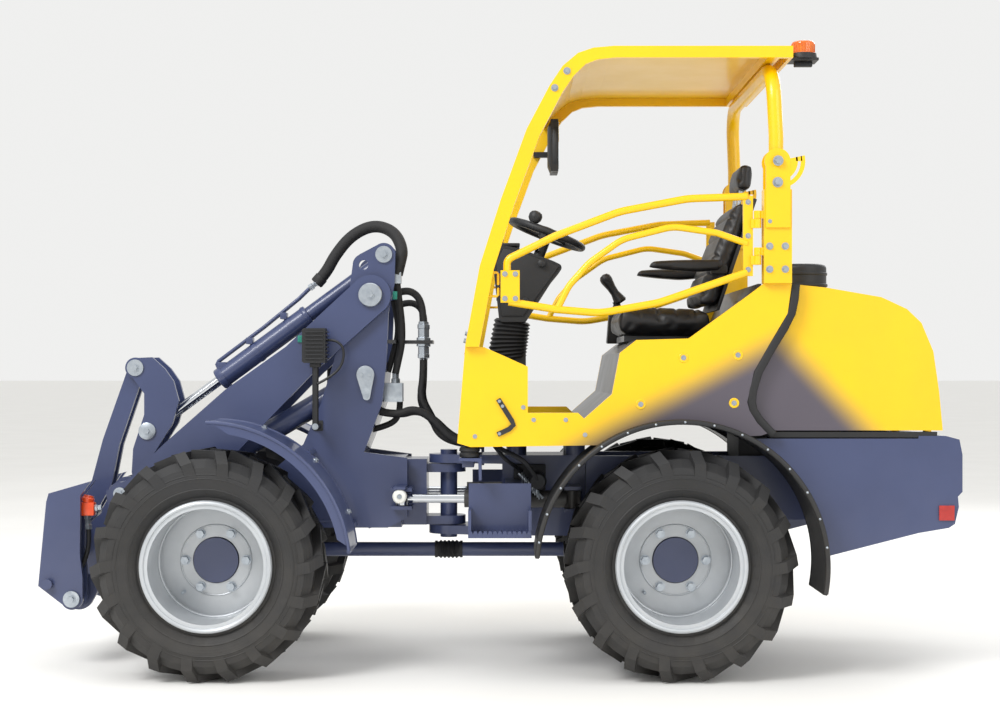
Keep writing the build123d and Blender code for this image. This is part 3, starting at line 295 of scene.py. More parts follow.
@dataclass(frozen=True)
class TyreFinish(Finish):
    """Moulded tyre rubber with turned mould rings about the wheel's centre."""

    centre: Pair = (0.0, 0.0)
    ring_mm: float = 9.0

    def relief(self, tree: Tree, place: Socket) -> Socket:
        """Rings of the mould added to the rubber's fine skin.

        Args:
            tree: the material's nodes.
            place: object coordinates.

        Returns:
            The height socket.
        """
        fine = super().relief(tree, place)
        middle = (-self.centre[0] * MM, 0.0, -self.centre[1] * MM)
        moved = add_node(tree, "ShaderNodeMapping", Vector=place, Location=middle)
        # A ring wave repeats every 2 pi / (20 scale), so the scale follows from the ring's width.
        scale = 2 * math.pi / (20 * self.ring_mm * MM)
        rings = add_node(
            tree, "ShaderNodeTexWave", {"wave_type": "RINGS", "rings_direction": "Y"},
            Vector=moved.outputs[0], Scale=scale,
        )
        both = add_node(
            tree, "ShaderNodeMix", {"data_type": "FLOAT"}, Factor=MOULD_RING_SHARE, in2=rings.outputs["Fac"],
            in3=fine,
        )
        return both.outputs[0]


class Form:
    """A mesh under construction, in millimetres until it becomes a piece; its shapes can be chained."""

    def __init__(self) -> None:
        """Start with no faces."""
        self.mesh = bmesh.new()

    def skin(self, rings: Sequence[Sequence[bmesh.types.BMVert]], closed: bool = False) -> "Form":
        """Join rings of the same size by faces, capped at both ends unless closed.

        Args:
            rings: vertices of each ring in order.
            closed: whether the last ring joins the first.

        Returns:
            The form.
        """
        size = len(rings[0])
        for i in range(len(rings) if closed else len(rings) - 1):
            first, second = rings[i], rings[(i + 1) % len(rings)]
            for j in range(size):
                k = (j + 1) % size
                self.mesh.faces.new((first[j], first[k], second[k], second[j]))
        if not closed:
            self.mesh.faces.new(list(reversed(rings[0])))
            self.mesh.faces.new(rings[-1])
        return self

    def sweep(self, path: Sequence[Point], section: Sequence[Pair], closed: bool = False) -> "Form":
        """Sweep a closed section along a path, capped at open ends.

        Args:
            path: points of the path.
            section: outline across the path, anticlockwise.
            closed: whether the path ends where it starts.

        Returns:
            The form.
        """
        points = [Vector(p) for p in path]
        count = len(points)
        ways = []
        for i in range(count):
            before = points[i - 1] if i or closed else points[i]
            after = points[(i + 1) % count] if i < count - 1 or closed else points[i]
            ways.append((after - before).normalized())
        side = Vector((0, 1, 0)) if abs(ways[0].y) < 0.9 else Vector((1, 0, 0))
        side = (side - ways[0] * side.dot(ways[0])).normalized()
        rings = []
        for i in range(count):
            if i:
                side = ways[i - 1].rotation_difference(ways[i]) @ side
            up = ways[i].cross(side)
            rings.append([self.mesh.verts.new(points[i] + side * a + up * b) for a, b in section])
        return self.skin(rings, closed)

    def tube(self, path: Sequence[Point], radius: float, sides: int = 12, closed: bool = False) -> "Form":
        """Sweep a circle of a radius and a number of sides along a path."""
        return self.sweep(path, ring_section(radius, sides), closed)

    def lathe(self, origin: Point, axis: Point, profile: Sequence[Pair], sides: int = 32) -> "Form":
        """Turn a profile about an axis.

        Args:
            origin: point on the axis.
            axis: direction of the axis.
            profile: distance along the axis and radius, from one end to the other.
            sides: faces round the axis.

        Returns:
            The form.
        """
        way = Vector(axis).normalized()
        side = way.orthogonal().normalized()
        up = way.cross(side)
        rings = []
        for along, radius in profile:
            foot = Vector(origin) + way * along
            if radius < 1e-6:
                rings.append([self.mesh.verts.new(foot)])
                continue
            spots = [foot + (side * math.cos(a) + up * math.sin(a)) * radius for a in turns(sides)]
            rings.append([self.mesh.verts.new(spot) for spot in spots])
        for first, second in zip(rings, rings[1:]):
            for j in range(sides):
                k = (j + 1) % sides
                near = [first[j % len(first)], first[k % len(first)]]
                far = [second[k % len(second)], second[j % len(second)]]
                unique = list(dict.fromkeys(near + far))
                if len(unique) > 2:
                    self.mesh.faces.new(unique)
        for ring in (rings[0], rings[-1]):
            if len(ring) > 1:
                self.mesh.faces.new(ring)
        return self

    def loft(self, rings: Sequence[Sequence[Point]]) -> "Form":
        """Skin over rings of points that have the same number of points, capped at both ends."""
        return self.skin([[self.mesh.verts.new(point) for point in ring] for ring in rings])

    def slab(self, outline: Sequence[Pair], low: float, high: float, chamfer: float = 0.0) -> "Form":
        """Plate of an outline in X and Z between two values of Y.

        Args:
            outline: corners in X and Z.
            low: lower Y.
            high: higher Y.
            chamfer: width of the two-step rounding on every edge.

        Returns:
            The form.
        """
        near = [self.mesh.verts.new((x, low, z)) for x, z in outline]
        far = [self.mesh.verts.new((x, high, z)) for x, z in outline]
        faces = [self.mesh.faces.new(near), self.mesh.faces.new(list(reversed(far)))]
        for i in range(len(outline)):
            j = (i + 1) % len(outline)
            faces.append(self.mesh.faces.new((near[j], near[i], far[i], far[j])))
        if chamfer:
            edges = list(dict.fromkeys(edge for face in faces for edge in face.edges))
            bmesh.ops.bevel(self.mesh, geom=edges, offset=chamfer, segments=2, affect="EDGES", profile=0.6)
        return self

    def box(self, low: Point, high: Point, chamfer: float = 0.0) -> "Form":
        """Box between its lowest and highest corner, with rounded edges."""
        outline = [(low[0], low[2]), (high[0], low[2]), (high[0], high[2]), (low[0], high[2])]
        return self.slab(outline, low[1], high[1], chamfer)

    def mirrored(self) -> "Form":
        """Add the right-hand copy of everything so far and return the form."""
        parts = self.mesh.verts[:] + self.mesh.edges[:] + self.mesh.faces[:]
        twin = bmesh.ops.duplicate(self.mesh, geom=parts)
        for item in twin["geom"]:
            if isinstance(item, bmesh.types.BMVert):
                item.co.y = -item.co.y
        return self

    def piece(
        self, name: str, finish: Finish, body: Optional[str], smooth: float = 35.0
    ) -> bpy.types.Object:
        """Close the form into a finished piece.

        Args:
            name: the piece's name.
            finish: its surface.
            body: body that it rides on, or None to leave it unattached.
            smooth: angle in degrees under which edges are shaded smooth.

        Returns:
            The new object.
        """
        bmesh.ops.remove_doubles(self.mesh, verts=self.mesh.verts[:], dist=MERGE_MM)
        bmesh.ops.recalc_face_normals(self.mesh, faces=self.mesh.faces[:])
        bmesh.ops.scale(self.mesh, vec=(MM, MM, MM), verts=self.mesh.verts[:])
        data = bpy.data.meshes.new(name)
        self.mesh.to_mesh(data)
        self.mesh.free()
        return settle(name, data, finish, body, smooth)


def settle(
    name: str, data: bpy.types.Mesh, finish: Finish, body: Optional[str], smooth: float = 35.0
) -> bpy.types.Object:
    """Make an object of a mesh in metres, give it its finish and let it ride.

    Args:
        name: the piece's name.
        data: its mesh, in place.
        finish: its surface.
        body: body that it rides on, or None to leave it unattached.
        smooth: angle in degrees under which edges are shaded smooth.

    Returns:
        The new object.
    """
    data.materials.clear()
    data.materials.append(finish.material)
    data.polygons.foreach_set("use_smooth", [True] * len(data.polygons))
    data.set_sharp_from_angle(angle=math.radians(smooth))
    piece = show(name, data)
    if body:
        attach(piece, body)
    LOG.info("%s: %d faces on %s", name, len(data.polygons), body or "two bodies")
    return piece


def turns(count: int) -> list[float]:
    """Equal steps round a circle, as angles in radians."""
    return [2 * math.pi * i / count for i in range(count)]


def ring_section(radius: float, sides: int = 12) -> list[Pair]:
    """Outline of a circle as points."""
    return [(radius * math.cos(a), radius * math.sin(a)) for a in turns(sides)]


def soft_square(sides: int, power: float) -> list[Pair]:
    """Points round a square of half-width 1 with rounded corners, squarer for a lower power."""
    ways = [(math.cos(a), math.sin(a)) for a in turns(sides)]
    return [(math.copysign(abs(c) ** power, c), math.copysign(abs(s) ** power, s)) for c, s in ways]


def arc(centre: Pair, radius: float, start: float, end: float, count: int) -> list[Pair]:
    """Points on an arc in X and Z.

    Args:
        centre: centre of the arc.
        radius: its radius.
        start: first angle in degrees.
        end: last angle in degrees.
        count: number of points.

    Returns:
        The points.
    """
    angles = [math.radians(start + (end - start) * i / (count - 1)) for i in range(count)]
    return [(centre[0] + radius * math.cos(a), centre[1] + radius * math.sin(a)) for a in angles]


def at_y(y: float, line: Iterable[Pair]) -> list[tuple[float, float, float]]:
    """Set a line in X and Z at one value of Y."""
    return [(x, y, z) for x, z in line]


def oval(centre: Vector, half_x: float, half_y: float, sides: int, lean: float = 0.0) -> list[Vector]:
    """Rounded square ring lying across Z.

    Args:
        centre: middle of the ring.
        half_x: half its length along X.
        half_y: half its width along Y.
        sides: points round it.
        lean: tilt about Y in radians.

    Returns:
        The ring's points.
    """
    ring = [(half_x * a, half_y * b) for a, b in soft_square(sides, OVAL_POWER)]
    return [centre + Vector((x * math.cos(lean), y, -x * math.sin(lean))) for x, y in ring]


def smooth_route(points: Sequence[Point], steps: int = 6) -> list[Vector]:
    """Points read from a NURBS spline that has the given control points.

    Args:
        points: control points in millimetres.
        steps: points for each control point.

    Returns:
        Points along the smooth line, in millimetres.
    """
    curve = bpy.data.curves.new("route", "CURVE")
    curve.dimensions = "3D"
    curve.resolution_u = steps
    spline = curve.splines.new("NURBS")
    spline.points.add(len(points) - 1)
    for knot, point in zip(spline.points, points):
        knot.co = (*mm(point), 1.0)
    spline.order_u = 3
    spline.use_endpoint_u = True
    holder = show("route", curve)
    line = frozen(holder)
    found = [v.co / MM for v in line.vertices]
    bpy.data.objects.remove(holder)
    bpy.data.curves.remove(curve)
    bpy.data.meshes.remove(line)
    return found


class Repeater:
    """A Geometry Nodes tree that sets one small shape at many points."""

    def __init__(self, name: str, *sizes: str) -> None:
        """Start a tree with its geometry, material and named size sockets."""
        self.tree = bpy.data.node_groups.new(name, "GeometryNodeTree")
        self.sizes = sizes
        self.sockets: dict[str, str] = {}
        kinds = {"Geometry": "NodeSocketGeometry", "Material": "NodeSocketMaterial"}
        for key in (*kinds, *sizes):
            kind = kinds.get(key, "NodeSocketFloat")
            socket = self.tree.interface.new_socket(key, in_out="INPUT", socket_type=kind)
            self.sockets[key] = socket.identifier
        self.tree.interface.new_socket("Geometry", in_out="OUTPUT", socket_type=kinds["Geometry"])
        self.entry = self.add("NodeGroupInput").outputs

    def add(self, kind: str, settings: Optional[dict] = None, **inputs) -> bpy.types.Node:
        """Add a node to this tree, as add_node does."""
        return add_node(self.tree, kind, settings, **inputs)

    def close(self, shape: Socket) -> "Repeater":
        """Instance a shape on the points, facing along their attribute, and end the tree.

        Args:
            shape: geometry to repeat.

        Returns:
            The finished repeater.
        """
        facing = self.add("GeometryNodeInputNamedAttribute", {"data_type": "FLOAT_VECTOR"}, Name="facing")
        way = facing.outputs["Attribute"]
        turn = self.add("FunctionNodeAlignRotationToVector", {"axis": "Z"}, Vector=way).outputs[0]
        spread = self.add(
            "GeometryNodeInstanceOnPoints", Points=self.entry["Geometry"], Instance=shape, Rotation=turn
        )
        real = self.add("GeometryNodeRealizeInstances", Geometry=spread.outputs[0])
        look = self.entry["Material"]
        dressed = self.add("GeometryNodeSetMaterial", Geometry=real.outputs[0], Material=look)
        self.add("NodeGroupOutput", Geometry=dressed.outputs[0])
        return self

    def run(
        self, name: str, spots: Sequence[Spot], finish: Finish, body: str, sizes: Sequence[float],
        slot: str = "",
    ) -> bpy.types.Object:
        """Evaluate the tree on some points and keep the result as a plain mesh.

        Args:
            name: the piece's name.
            spots: each point and the way it faces, in millimetres.
            finish: surface of the repeats.
            body: body that they ride on.
            sizes: values of the tree's size sockets in order, in millimetres.
            slot: the record's material slot, where it is not the finish's own; not used.

        Returns:
            The finished piece.
        """
        data = bpy.data.meshes.new(name)
        data.from_pydata([mm(spot) for spot, _ in spots], [], [])
        facing = data.attributes.new("facing", "FLOAT_VECTOR", "POINT")
        facing.data.foreach_set("vector", [c for _, way in spots for c in way])
        holder = show(name + "_points", data)
        modifier = holder.modifiers.new("repeat", "NODES")
        modifier.node_group = self.tree
        modifier[self.sockets["Material"]] = finish.material
        for key, value in zip(self.sizes, sizes):
            modifier[self.sockets[key]] = value * MM
        result = frozen(holder)
        holder.modifiers.clear()
        bpy.data.objects.remove(holder)
        return settle(name, result, finish, body)


def hex_bolt_tree() -> Repeater:
    """Hexagon head on a round washer, its foot at the point."""
    tree = Repeater("hex_bolts", "Across", "Height", "Washer", "Seat")
    across, height, washer, seat = (tree.entry[name] for name in tree.sizes)
    # The corner circle of a hexagon is 0.577 of its width across flats.
    corner = tree.add("ShaderNodeMath", {"operation": "MULTIPLY"}, in0=across, in1=0.577).outputs[0]
    half = tree.add("ShaderNodeMath", {"operation": "MULTIPLY"}, in0=seat, in1=0.5).outputs[0]
    rise = tree.add("ShaderNodeMath", {"operation": "MULTIPLY_ADD"}, in0=height, in1=0.5, in2=seat).outputs[0]
    both = tree.add("GeometryNodeJoinGeometry")
    for sides, radius, depth, lift in ((6, corner, height, rise), (24, washer, seat, half)):
        shape = tree.add("GeometryNodeMeshCylinder", Vertices=sides, Radius=radius, Depth=depth)
        place = tree.add("ShaderNodeCombineXYZ", Z=lift).outputs[0]
        moved = tree.add("GeometryNodeTransform", Geometry=shape.outputs["Mesh"], Translation=place)
        tree.tree.links.new(moved.outputs[0], both.inputs[0])
    return tree.close(both.outputs[0])


def rib_tree() -> Repeater:
    """Flat bar standing on each point, for fins, slats and louvres."""
    tree = Repeater("ribs", "Length", "Width", "Thickness")
    length, width, thickness = (tree.entry[name] for name in tree.sizes)
    size = tree.add("ShaderNodeCombineXYZ", X=length, Y=width, Z=thickness).outputs[0]
    return tree.close(tree.add("GeometryNodeMeshCube", Size=size).outputs["Mesh"])


def stud_tree() -> Repeater:
    """Domed rivet or button made of a half-sunk ball."""
    tree = Repeater("studs", "Radius")
    ball = tree.add("GeometryNodeMeshUVSphere", Segments=12, Rings=8, Radius=tree.entry["Radius"])
    return tree.close(ball.outputs["Mesh"])


YELLOW = ("#F4C400", "#EEBE00", 0.34, Grain.PEEL, 5.0, 0.05, 0.0, 0.25)
# Sprayed enamel: a thin clear gloss over an even colour, faintly rippled, dusty near the ground.
BLUE_ENAMEL = Finish(
    "blue_grey_enamel", "blue_paint", "#3C466A", "#364064", 0.36, Grain.PEEL, 5.0, 0.05, coat=0.3, dust=0.06
)
YELLOW_ENAMEL = Finish("yellow_enamel", "yellow_paint", *YELLOW)
PANEL_FADE = FadedFinish(
    "yellow_enamel_panel_fade", "yellow_paint", *YELLOW, across=(0.466, -0.885), start=-610.0, end=-490.0
)
HOOD_FADE = FadedFinish(
    "yellow_enamel_hood_fade", "yellow_paint", *YELLOW, across=(-0.728, -0.686), start=-1520.0, end=-1395.0
)
BLACK_ENAMEL = Finish(
    "black_enamel", "dark_paint", "#1B1C1F", "#232427", 0.42, Grain.PEEL, 5.0, 0.06, coat=0.2, dust=0.25
)
SILVER_ENAMEL = Finish(
    "silver_wheel_enamel", "rim_silver", "#C3C7CB", "#B4B9BE", 0.38, Grain.PEEL, 3.0, 0.04, 0.35, 0.2,
    dust=0.12,
)
# Grained mouldings: a dull black whose pebbles catch small highlights.
BLACK_PLASTIC = Finish(
    "black_abs_moulding", "black_plastic", "#17181A", "#1E1F22", 0.5, Grain.PEBBLE, 1.6, 0.12, dust=0.1
)
SEAT_VINYL = Finish(
    "black_seat_vinyl", "seat_vinyl", "#141416", "#1C1C1F", 0.44, Grain.PEBBLE, 3.2, 0.25, mottle_mm=60
)
RUBBER = Finish("black_hose_rubber", "black_plastic", "#161617", "#202022", 0.6, Grain.CAST, 2.0, 0.1)
SLEEVE = Finish(
    "braided_hose_sleeve", "black_plastic", "#121213", "#1F1F21", 0.72, Grain.BRAID, 3.5, 0.5, mottle_mm=18
)
# Plated and turned steel: bright with a faint turning mark.
ZINC = Finish(
    "zinc_plated_steel", "zinc_steel", "#B9C0C7", "#A3ABB4", 0.34, Grain.CAST, 1.5, 0.04, 0.9, mottle_mm=22
)
CHROME = Finish(
    "hard_chromed_rod", "rod_chrome", "#D3D6DA", "#C9CDD2", 0.12, Grain.DRAWN, 2.0, 0.01, 1.0, spread=0.04
)
CAST_IRON = Finish("painted_casting", "engine_iron", "#2A2B2E", "#35363A", 0.6, Grain.CAST, 4.0, 0.4, 0.2)
NYLON = Finish(
    "white_nylon", "black_plastic", "#ECECE6", "#DEDED6", 0.42, Grain.CAST, 3.0, 0.03, mottle_mm=40
)
ORANGE = Finish(
    "orange_enamel", "amber_lens", "#F0521A", "#E34812", 0.35, Grain.PEEL, 3.0, 0.05, coat=0.3, mottle_mm=40
)
TEAL = Finish(
    "teal_plug_plastic", "black_plastic", "#12806F", "#0F7363", 0.45, Grain.PEBBLE, 2.0, 0.05, mottle_mm=30
)
# Clear and tinted lenses: hard gloss over a deep, even tint.
AMBER = Finish(
    "amber_beacon_lens", "amber_lens", "#F07A12", "#E66A08", 0.14, Grain.PEEL, 6.0, 0.02, coat=0.6,
    clear=0.25, mottle_mm=30,
)
RED_LENS = Finish(
    "red_lamp_lens", "lamp_lens", "#B3261E", "#A01E18", 0.14, Grain.PEEL, 6.0, 0.02, coat=0.6, mottle_mm=30
)
CLEAR_LENS = Finish(
    "clear_lamp_lens", "zinc_steel", "#DDE3E8", "#CAD2DA", 0.08, Grain.PEEL, 8.0, 0.1, coat=0.6, mottle_mm=20
)
MIRROR_GLASS = Finish(
    "silvered_glass", "zinc_steel", "#D8DDE2", "#D2D8DE", 0.03, Grain.PEEL, 40.0, 0.01, 1.0, spread=0.01
)
STUDIO_FLOOR = Finish(
    "matt_studio_floor", "", "#F3F2EF", "#F0EFEC", 0.85, Grain.CAST, 12.0, 0.05, mottle_mm=900
)

# Bolt sizes: width across flats, height of the head, radius and thickness of the washer.
WHEEL_NUT = (24.0, 20.0, 17.0, 4.0)
FOLD_BOLT = (19.0, 9.0, 17.0, 3.0)
PIVOT_BOLT = (19.0, 9.0, 15.0, 3.0)
PIN_BOLT = (19.0, 8.0, 14.25, 2.5)
LINK_BOLT = (17.0, 8.0, 12.75, 2.5)
FRAME_BOLT = (13.0, 7.0, 12.0, 2.0)
FOOT_BOLT = (13.0, 7.0, 11.0, 2.0)
DOOR_BOLT = (10.0, 5.0, 9.0, 1.5)
KEEPER_BOLT = (10.0, 5.0, 8.0, 1.5)
PANEL_SCREW = (9.0, 4.0, 8.5, 1.2)
SILL_SCREW = (9.0, 4.0, 7.5, 1.2)
STAY_SCREW = (7.0, 3.0, 5.5, 1.0)

WHEEL_RADIUS = 380.0
REAR_WHEEL_X = 610.0
FRONT_WHEEL_X = -930.0
SIDES = ((-1, "left"), (1, "right"))
Y_OUT = {-1: (0.0, -1.0, 0.0), 1: (0.0, 1.0, 0.0)}


def both_sides(spots: Sequence[Pair], reach: float) -> list[Spot]:
    """Points in X and Z set on the left and right faces of the machine.

    Args:
        spots: places in X and Z.
        reach: distance of each face from the middle plane.

    Returns:
        Each point with the way it faces.
    """
    return [((x, side * reach, z), Y_OUT[side]) for side in (-1, 1) for x, z in spots]


@dataclass(frozen=True)
class Corner:
    """One wheel's name, place and side."""

    name: str
    x: float
    side: int

    @property
    def body(self) -> str:
        """Body that the wheel turns with."""
        return f"wheel_{self.name}"

    @property
    def tyre(self) -> TyreFinish:
        """Rubber whose mould rings turn about this wheel."""
        return TyreFinish(
            f"tyre_rubber_{self.name}", "tyre_rubber", "#18191B", "#1F2023", 0.6, Grain.CAST, 6.0, 0.5,
            dust=0.1, mottle_mm=120, centre=(self.x, WHEEL_RADIUS),
        )


WHEELS = [
    Corner(f"{end}_{name}", x, side)
    for end, x in (("front", FRONT_WHEEL_X), ("rear", REAR_WHEEL_X))
    for side, name in SIDES
]


def coat_nodes() -> None:
    """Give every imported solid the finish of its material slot, or its own."""
    plain = (
        BLUE_ENAMEL, YELLOW_ENAMEL, BLACK_ENAMEL, SILVER_ENAMEL, BLACK_PLASTIC, SEAT_VINYL, ZINC, CHROME,
        CAST_IRON, AMBER, RED_LENS,
    )
    by_slot = {finish.slot: finish for finish in plain}
    special = {"cab_side_left": PANEL_FADE, "cab_side_right": PANEL_FADE, "hood": HOOD_FADE}
    special.update({f"tyre_{wheel.name}": wheel.tyre for wheel in WHEELS})
    for row in frame["record"]["subparts"]:
        finish = special.get(row["node"]) or by_slot[row["material_slot"]]
        data = NODES[row["node"]].data
        data.materials.clear()
        data.materials.append(finish.material)
        data.polygons.foreach_set("material_index", [0] * len(data.polygons))


@dataclass
class WheelDress:
    """Nuts, valve, bead seats and sidewall ribs on one wheel."""

    corner: Corner
    bolts: Repeater
    track_half: float = 428.0
    disc_face: float = -90.0
    nut_circle: float = 102.0
    nuts: int = 6
    lip_face: float = 115.0
    lip_radius: float = 207.0

    def at(self, radius: float, angle: float, out: float) -> tuple[float, float, float]:
        """Point on the wheel: radius, angle in degrees and distance outwards from its middle plane."""
        turn = math.radians(angle)
        y = self.corner.side * (self.track_half + out)
        return (self.corner.x + radius * math.cos(turn), y, WHEEL_RADIUS + radius * math.sin(turn))

    def hoops(self, rows: Iterable[tuple[float, float, float]], count: int, sides: int) -> Form:
        """Round hoops about the axle.

        Args:
            rows: radius, distance outwards and thickness of each hoop.
            count: points round a hoop.
            sides: faces round its section.

        Returns:
            The form with the hoops.
        """
        form = Form()
        for radius, out, size in rows:
            y = self.corner.side * (self.track_half + out)
            line = arc((self.corner.x, WHEEL_RADIUS), radius, 0, 360, count + 1)[:-1]
            form.tube(at_y(y, line), size, sides, closed=True)
        return form

    def build(self) -> None:
        """Make the wheel's fittings."""
        out = Y_OUT[self.corner.side]
        name, body = self.corner.name, self.corner.body
        spots = [(self.at(self.nut_circle, 60 * i + 60, self.disc_face), out) for i in range(self.nuts)]
        self.bolts.run(f"wheel_nuts_{name}", spots, ZINC, body, WHEEL_NUT)
        stem = [(0, 6), (3, 6), (3, 4.2), (26, 4.2), (26, 5.5), (36, 5.5), (38, 3)]
        Form().lathe(self.at(150.0, 225.0, self.disc_face), out, stem, 16).piece(f"valve_{name}", ZINC, body)
        lips = [(self.lip_radius, face, 7.5) for face in (self.lip_face, -self.lip_face)]
        self.hoops(lips, 72, 8).piece(f"rim_lip_{name}", SILVER_ENAMEL, body)
        beads = ((186.0, -60.0, 4.0), (118.0, self.disc_face + 1.0, 3.0))
        self.hoops(beads, 72, 8).piece(f"rim_beads_{name}", SILVER_ENAMEL, body)
        ribs = ((252.0, 125.2, 3.0), (287.0, 131.4, 2.2), (300.0, 129.2, 2.2))
        both = []
        for side in (-self.corner.side, self.corner.side):
            both += [(radius, side * face, size) for radius, face, size in ribs]
        self.hoops(both, 108, 6).piece(f"sidewall_ribs_{name}", self.corner.tyre, body)


@dataclass
class CabDress:
    """Seals, screws, mudguard edges, steps, cab mounts and brake units of the rear frame."""

    bolts: Repeater
    ribs: Repeater
    studs: Repeater
    body: str = "rear_frame"
    panel_face: float = 480.0
    post_face: float = 505.0
    guard_edge: float = 556.0
    guard_radius: float = 469.0
    guard_centre: Pair = (REAR_WHEEL_X, WHEEL_RADIUS)
    seal_line: tuple[Pair, ...] = (
        (915, 806), (872, 851), (851, 884), (845, 912), (849, 950), (867, 1010), (893, 1057), (918, 1101),
        (950, 1152), (976, 1204), (985, 1250), (989, 1297),
    )
    panel_screws: tuple[Pair, ...] = ((622, 1057), (800, 1066), (482, 905), (787, 909))
    sill_screws: tuple[Pair, ...] = ((132, 854), (237, 854), (98, 895), (-60, 800), (300, 805))
    hinge_bolts: tuple[Pair, ...] = ((899, 1345), (899, 1420), (899, 1500), (950, 1345), (950, 1420))

    def build(self) -> None:
        """Make every fitting on the rear frame."""
        self.seals()
        self.fasteners()
        self.mudguards()
        self.steps()
        self.mounts()
        self.brakes()

    def seals(self) -> None:
        """Rubber edge between the side panel and the hood, and along the hood's foot."""
        section = [(-20.5, -10), (-17, -14), (17, -14), (20.5, -10), (20.5, 10), (17, 14), (-17, 14)]
        seal = Form().sweep(at_y(-461.0, self.seal_line), [*section, (-20.5, 10)])
        foot = at_y(-430, ((912, 804), (1180, 804), (1462, 804)))
        seal.sweep(foot, [(-9, -9), (9, -9), (9, 9), (-9, 9)])
        seal.mirrored().piece("panel_seal", RUBBER, self.body, 50)

    def fasteners(self) -> None:
        """Dished panel screws, sill screws, hinge and fold bolts, and the stay of each door."""
        dish = Form()
        rim = [(-0.5, 17), (1.2, 16.5), (2.2, 14.5), (1.6, 12.5), (0.4, 10.5), (0.4, 0)]
        for x, z in self.panel_screws:
            dish.lathe((x, -self.panel_face, z), (0, -1, 0), rim, 28)
        dish.mirrored().piece("panel_dishes", YELLOW_ENAMEL, self.body, 60)
        lever = ((16, 922), (40, 884), (60, 852), (66, 838), (52, 824), (14, 806))
        stay = Form().sweep(at_y(-485.0, lever), [(-2.5, -8), (2.5, -8), (2.5, 8), (-2.5, 8)])
        stay.mirrored().piece("door_stay", BLACK_ENAMEL, self.body)
        folds = both_sides(((924, 1627),), 513.0) + both_sides(((924, 1696),), 521.0)
        for name, spots, size in (
            ("panel_screws", both_sides(self.panel_screws, self.panel_face + 0.4), PANEL_SCREW),
            ("sill_screws", both_sides(self.sill_screws, self.panel_face), SILL_SCREW),
            ("hinge_bolts", both_sides(self.hinge_bolts, self.post_face), FRAME_BOLT),
            ("fold_bolts", folds, FOLD_BOLT),
            ("stay_screws", both_sides(((20, 915), (30, 899), (20, 809)), 487.5), STAY_SCREW),
        ):
            self.bolts.run(name, spots, ZINC, self.body, size)

    def mudguards(self) -> None:
        """Rolled outer edge of each mudguard with its row of rivets."""
        edge = Form()
        for y, size, sides in ((-self.guard_edge, 9.0, 10), (-302.0, 7.0, 8)):
            edge.tube(at_y(y, arc(self.guard_centre, self.guard_radius, -10.5, 176, 90)), size, sides)
        edge.mirrored().piece("mudguard_edges", BLACK_PLASTIC, self.body, 60)
        rivets = both_sides(arc(self.guard_centre, self.guard_radius, 8, 170, 15), self.guard_edge + 7.5)
        self.studs.run("mudguard_rivets", rivets, ZINC, self.body, (4.5,))

    def steps(self) -> None:
        """Raised grip bars and toothed edge on both steps."""
        spots = [((-66 + 22 * i, side * 446.0, 483.0), (0, 0, 1)) for side in (-1, 1) for i in range(9)]
        self.ribs.run("step_grips", spots, BLUE_ENAMEL, self.body, (7.0, 104.0, 5.0))
        teeth = [(-82, 470), (-82, 481)]
        for x in (-82 + 207 * i / 13 for i in range(13)):
            teeth += [(x + 4, 492), (x + 12, 492), (x + 16, 481)]
        lip = Form().slab(teeth + [(125, 481), (125, 470)], -506.0, -500.0)
        lip.mirrored().piece("step_teeth", BLUE_ENAMEL, self.body)

    def mounts(self) -> None:
        """Angle brackets with rubber blocks under the cab's front corners."""
        angle = [(-112, 728), (-112, 718), (-48, 718), (-48, 655), (-38, 655), (-38, 728)]
        bracket = Form().slab(angle, -470.0, -400.0, 1.5).box((-104, -402, 694), (-64, -88, 718), 2.0)
        bracket.mirrored().piece("cab_mount_brackets", BLUE_ENAMEL, self.body)
        profile = [(0, 26), (3, 33), (12, 35), (18, 30), (24, 35), (33, 33), (38, 26)]
        block = Form().lathe((-78, -435, 728), (0, 0, 1), profile, 28)
        block.mirrored().piece("cab_mount_rubbers", RUBBER, self.body)

    def brakes(self) -> None:
        """Cast units with their pipes and return springs under the cab floor."""
        brake = Form().box((70, -160, 600), (180, -124.5, 690), 5.0)
        drum = [(0, 0), (0, 24), (12, 30), (100, 30), (110, 22), (140, 22), (141, 0)]
        brake.lathe((150, -300, 640), (0, 1, 0), drum, 24)
        for route, radius in (
            ([(150, -292, 640), (120, -310, 700), (60, -300, 735), (20, -240, 750)], 8),
            ([(95, -160, 670), (70, -230, 690), (30, -250, 720), (0, -200, 760)], 7),
        ):
            brake.tube(smooth_route(route), radius, 10)
        brake.mirrored().piece("brake_units", CAST_IRON, self.body)
        steps, turns = 14, 9
        coil = []
        for i in range(turns * steps + 1):
            turn = 2 * math.pi * i / steps
            along = i / (turns * steps)
            coil.append((95 + 62 * along, -278 + 15 * math.cos(turn), 655 - 62 * along + 15 * math.sin(turn)))
        spring = Form().tube(coil, 2.6, 6).tube([(84, -278, 666), (168, -278, 582)], 5.0, 10)
        spring.tube([(150, -278, 600), (150, -200, 600), (150, -158, 612)], 6.0, 10)
        spring.mirrored().piece("brake_springs", ZINC, self.body)


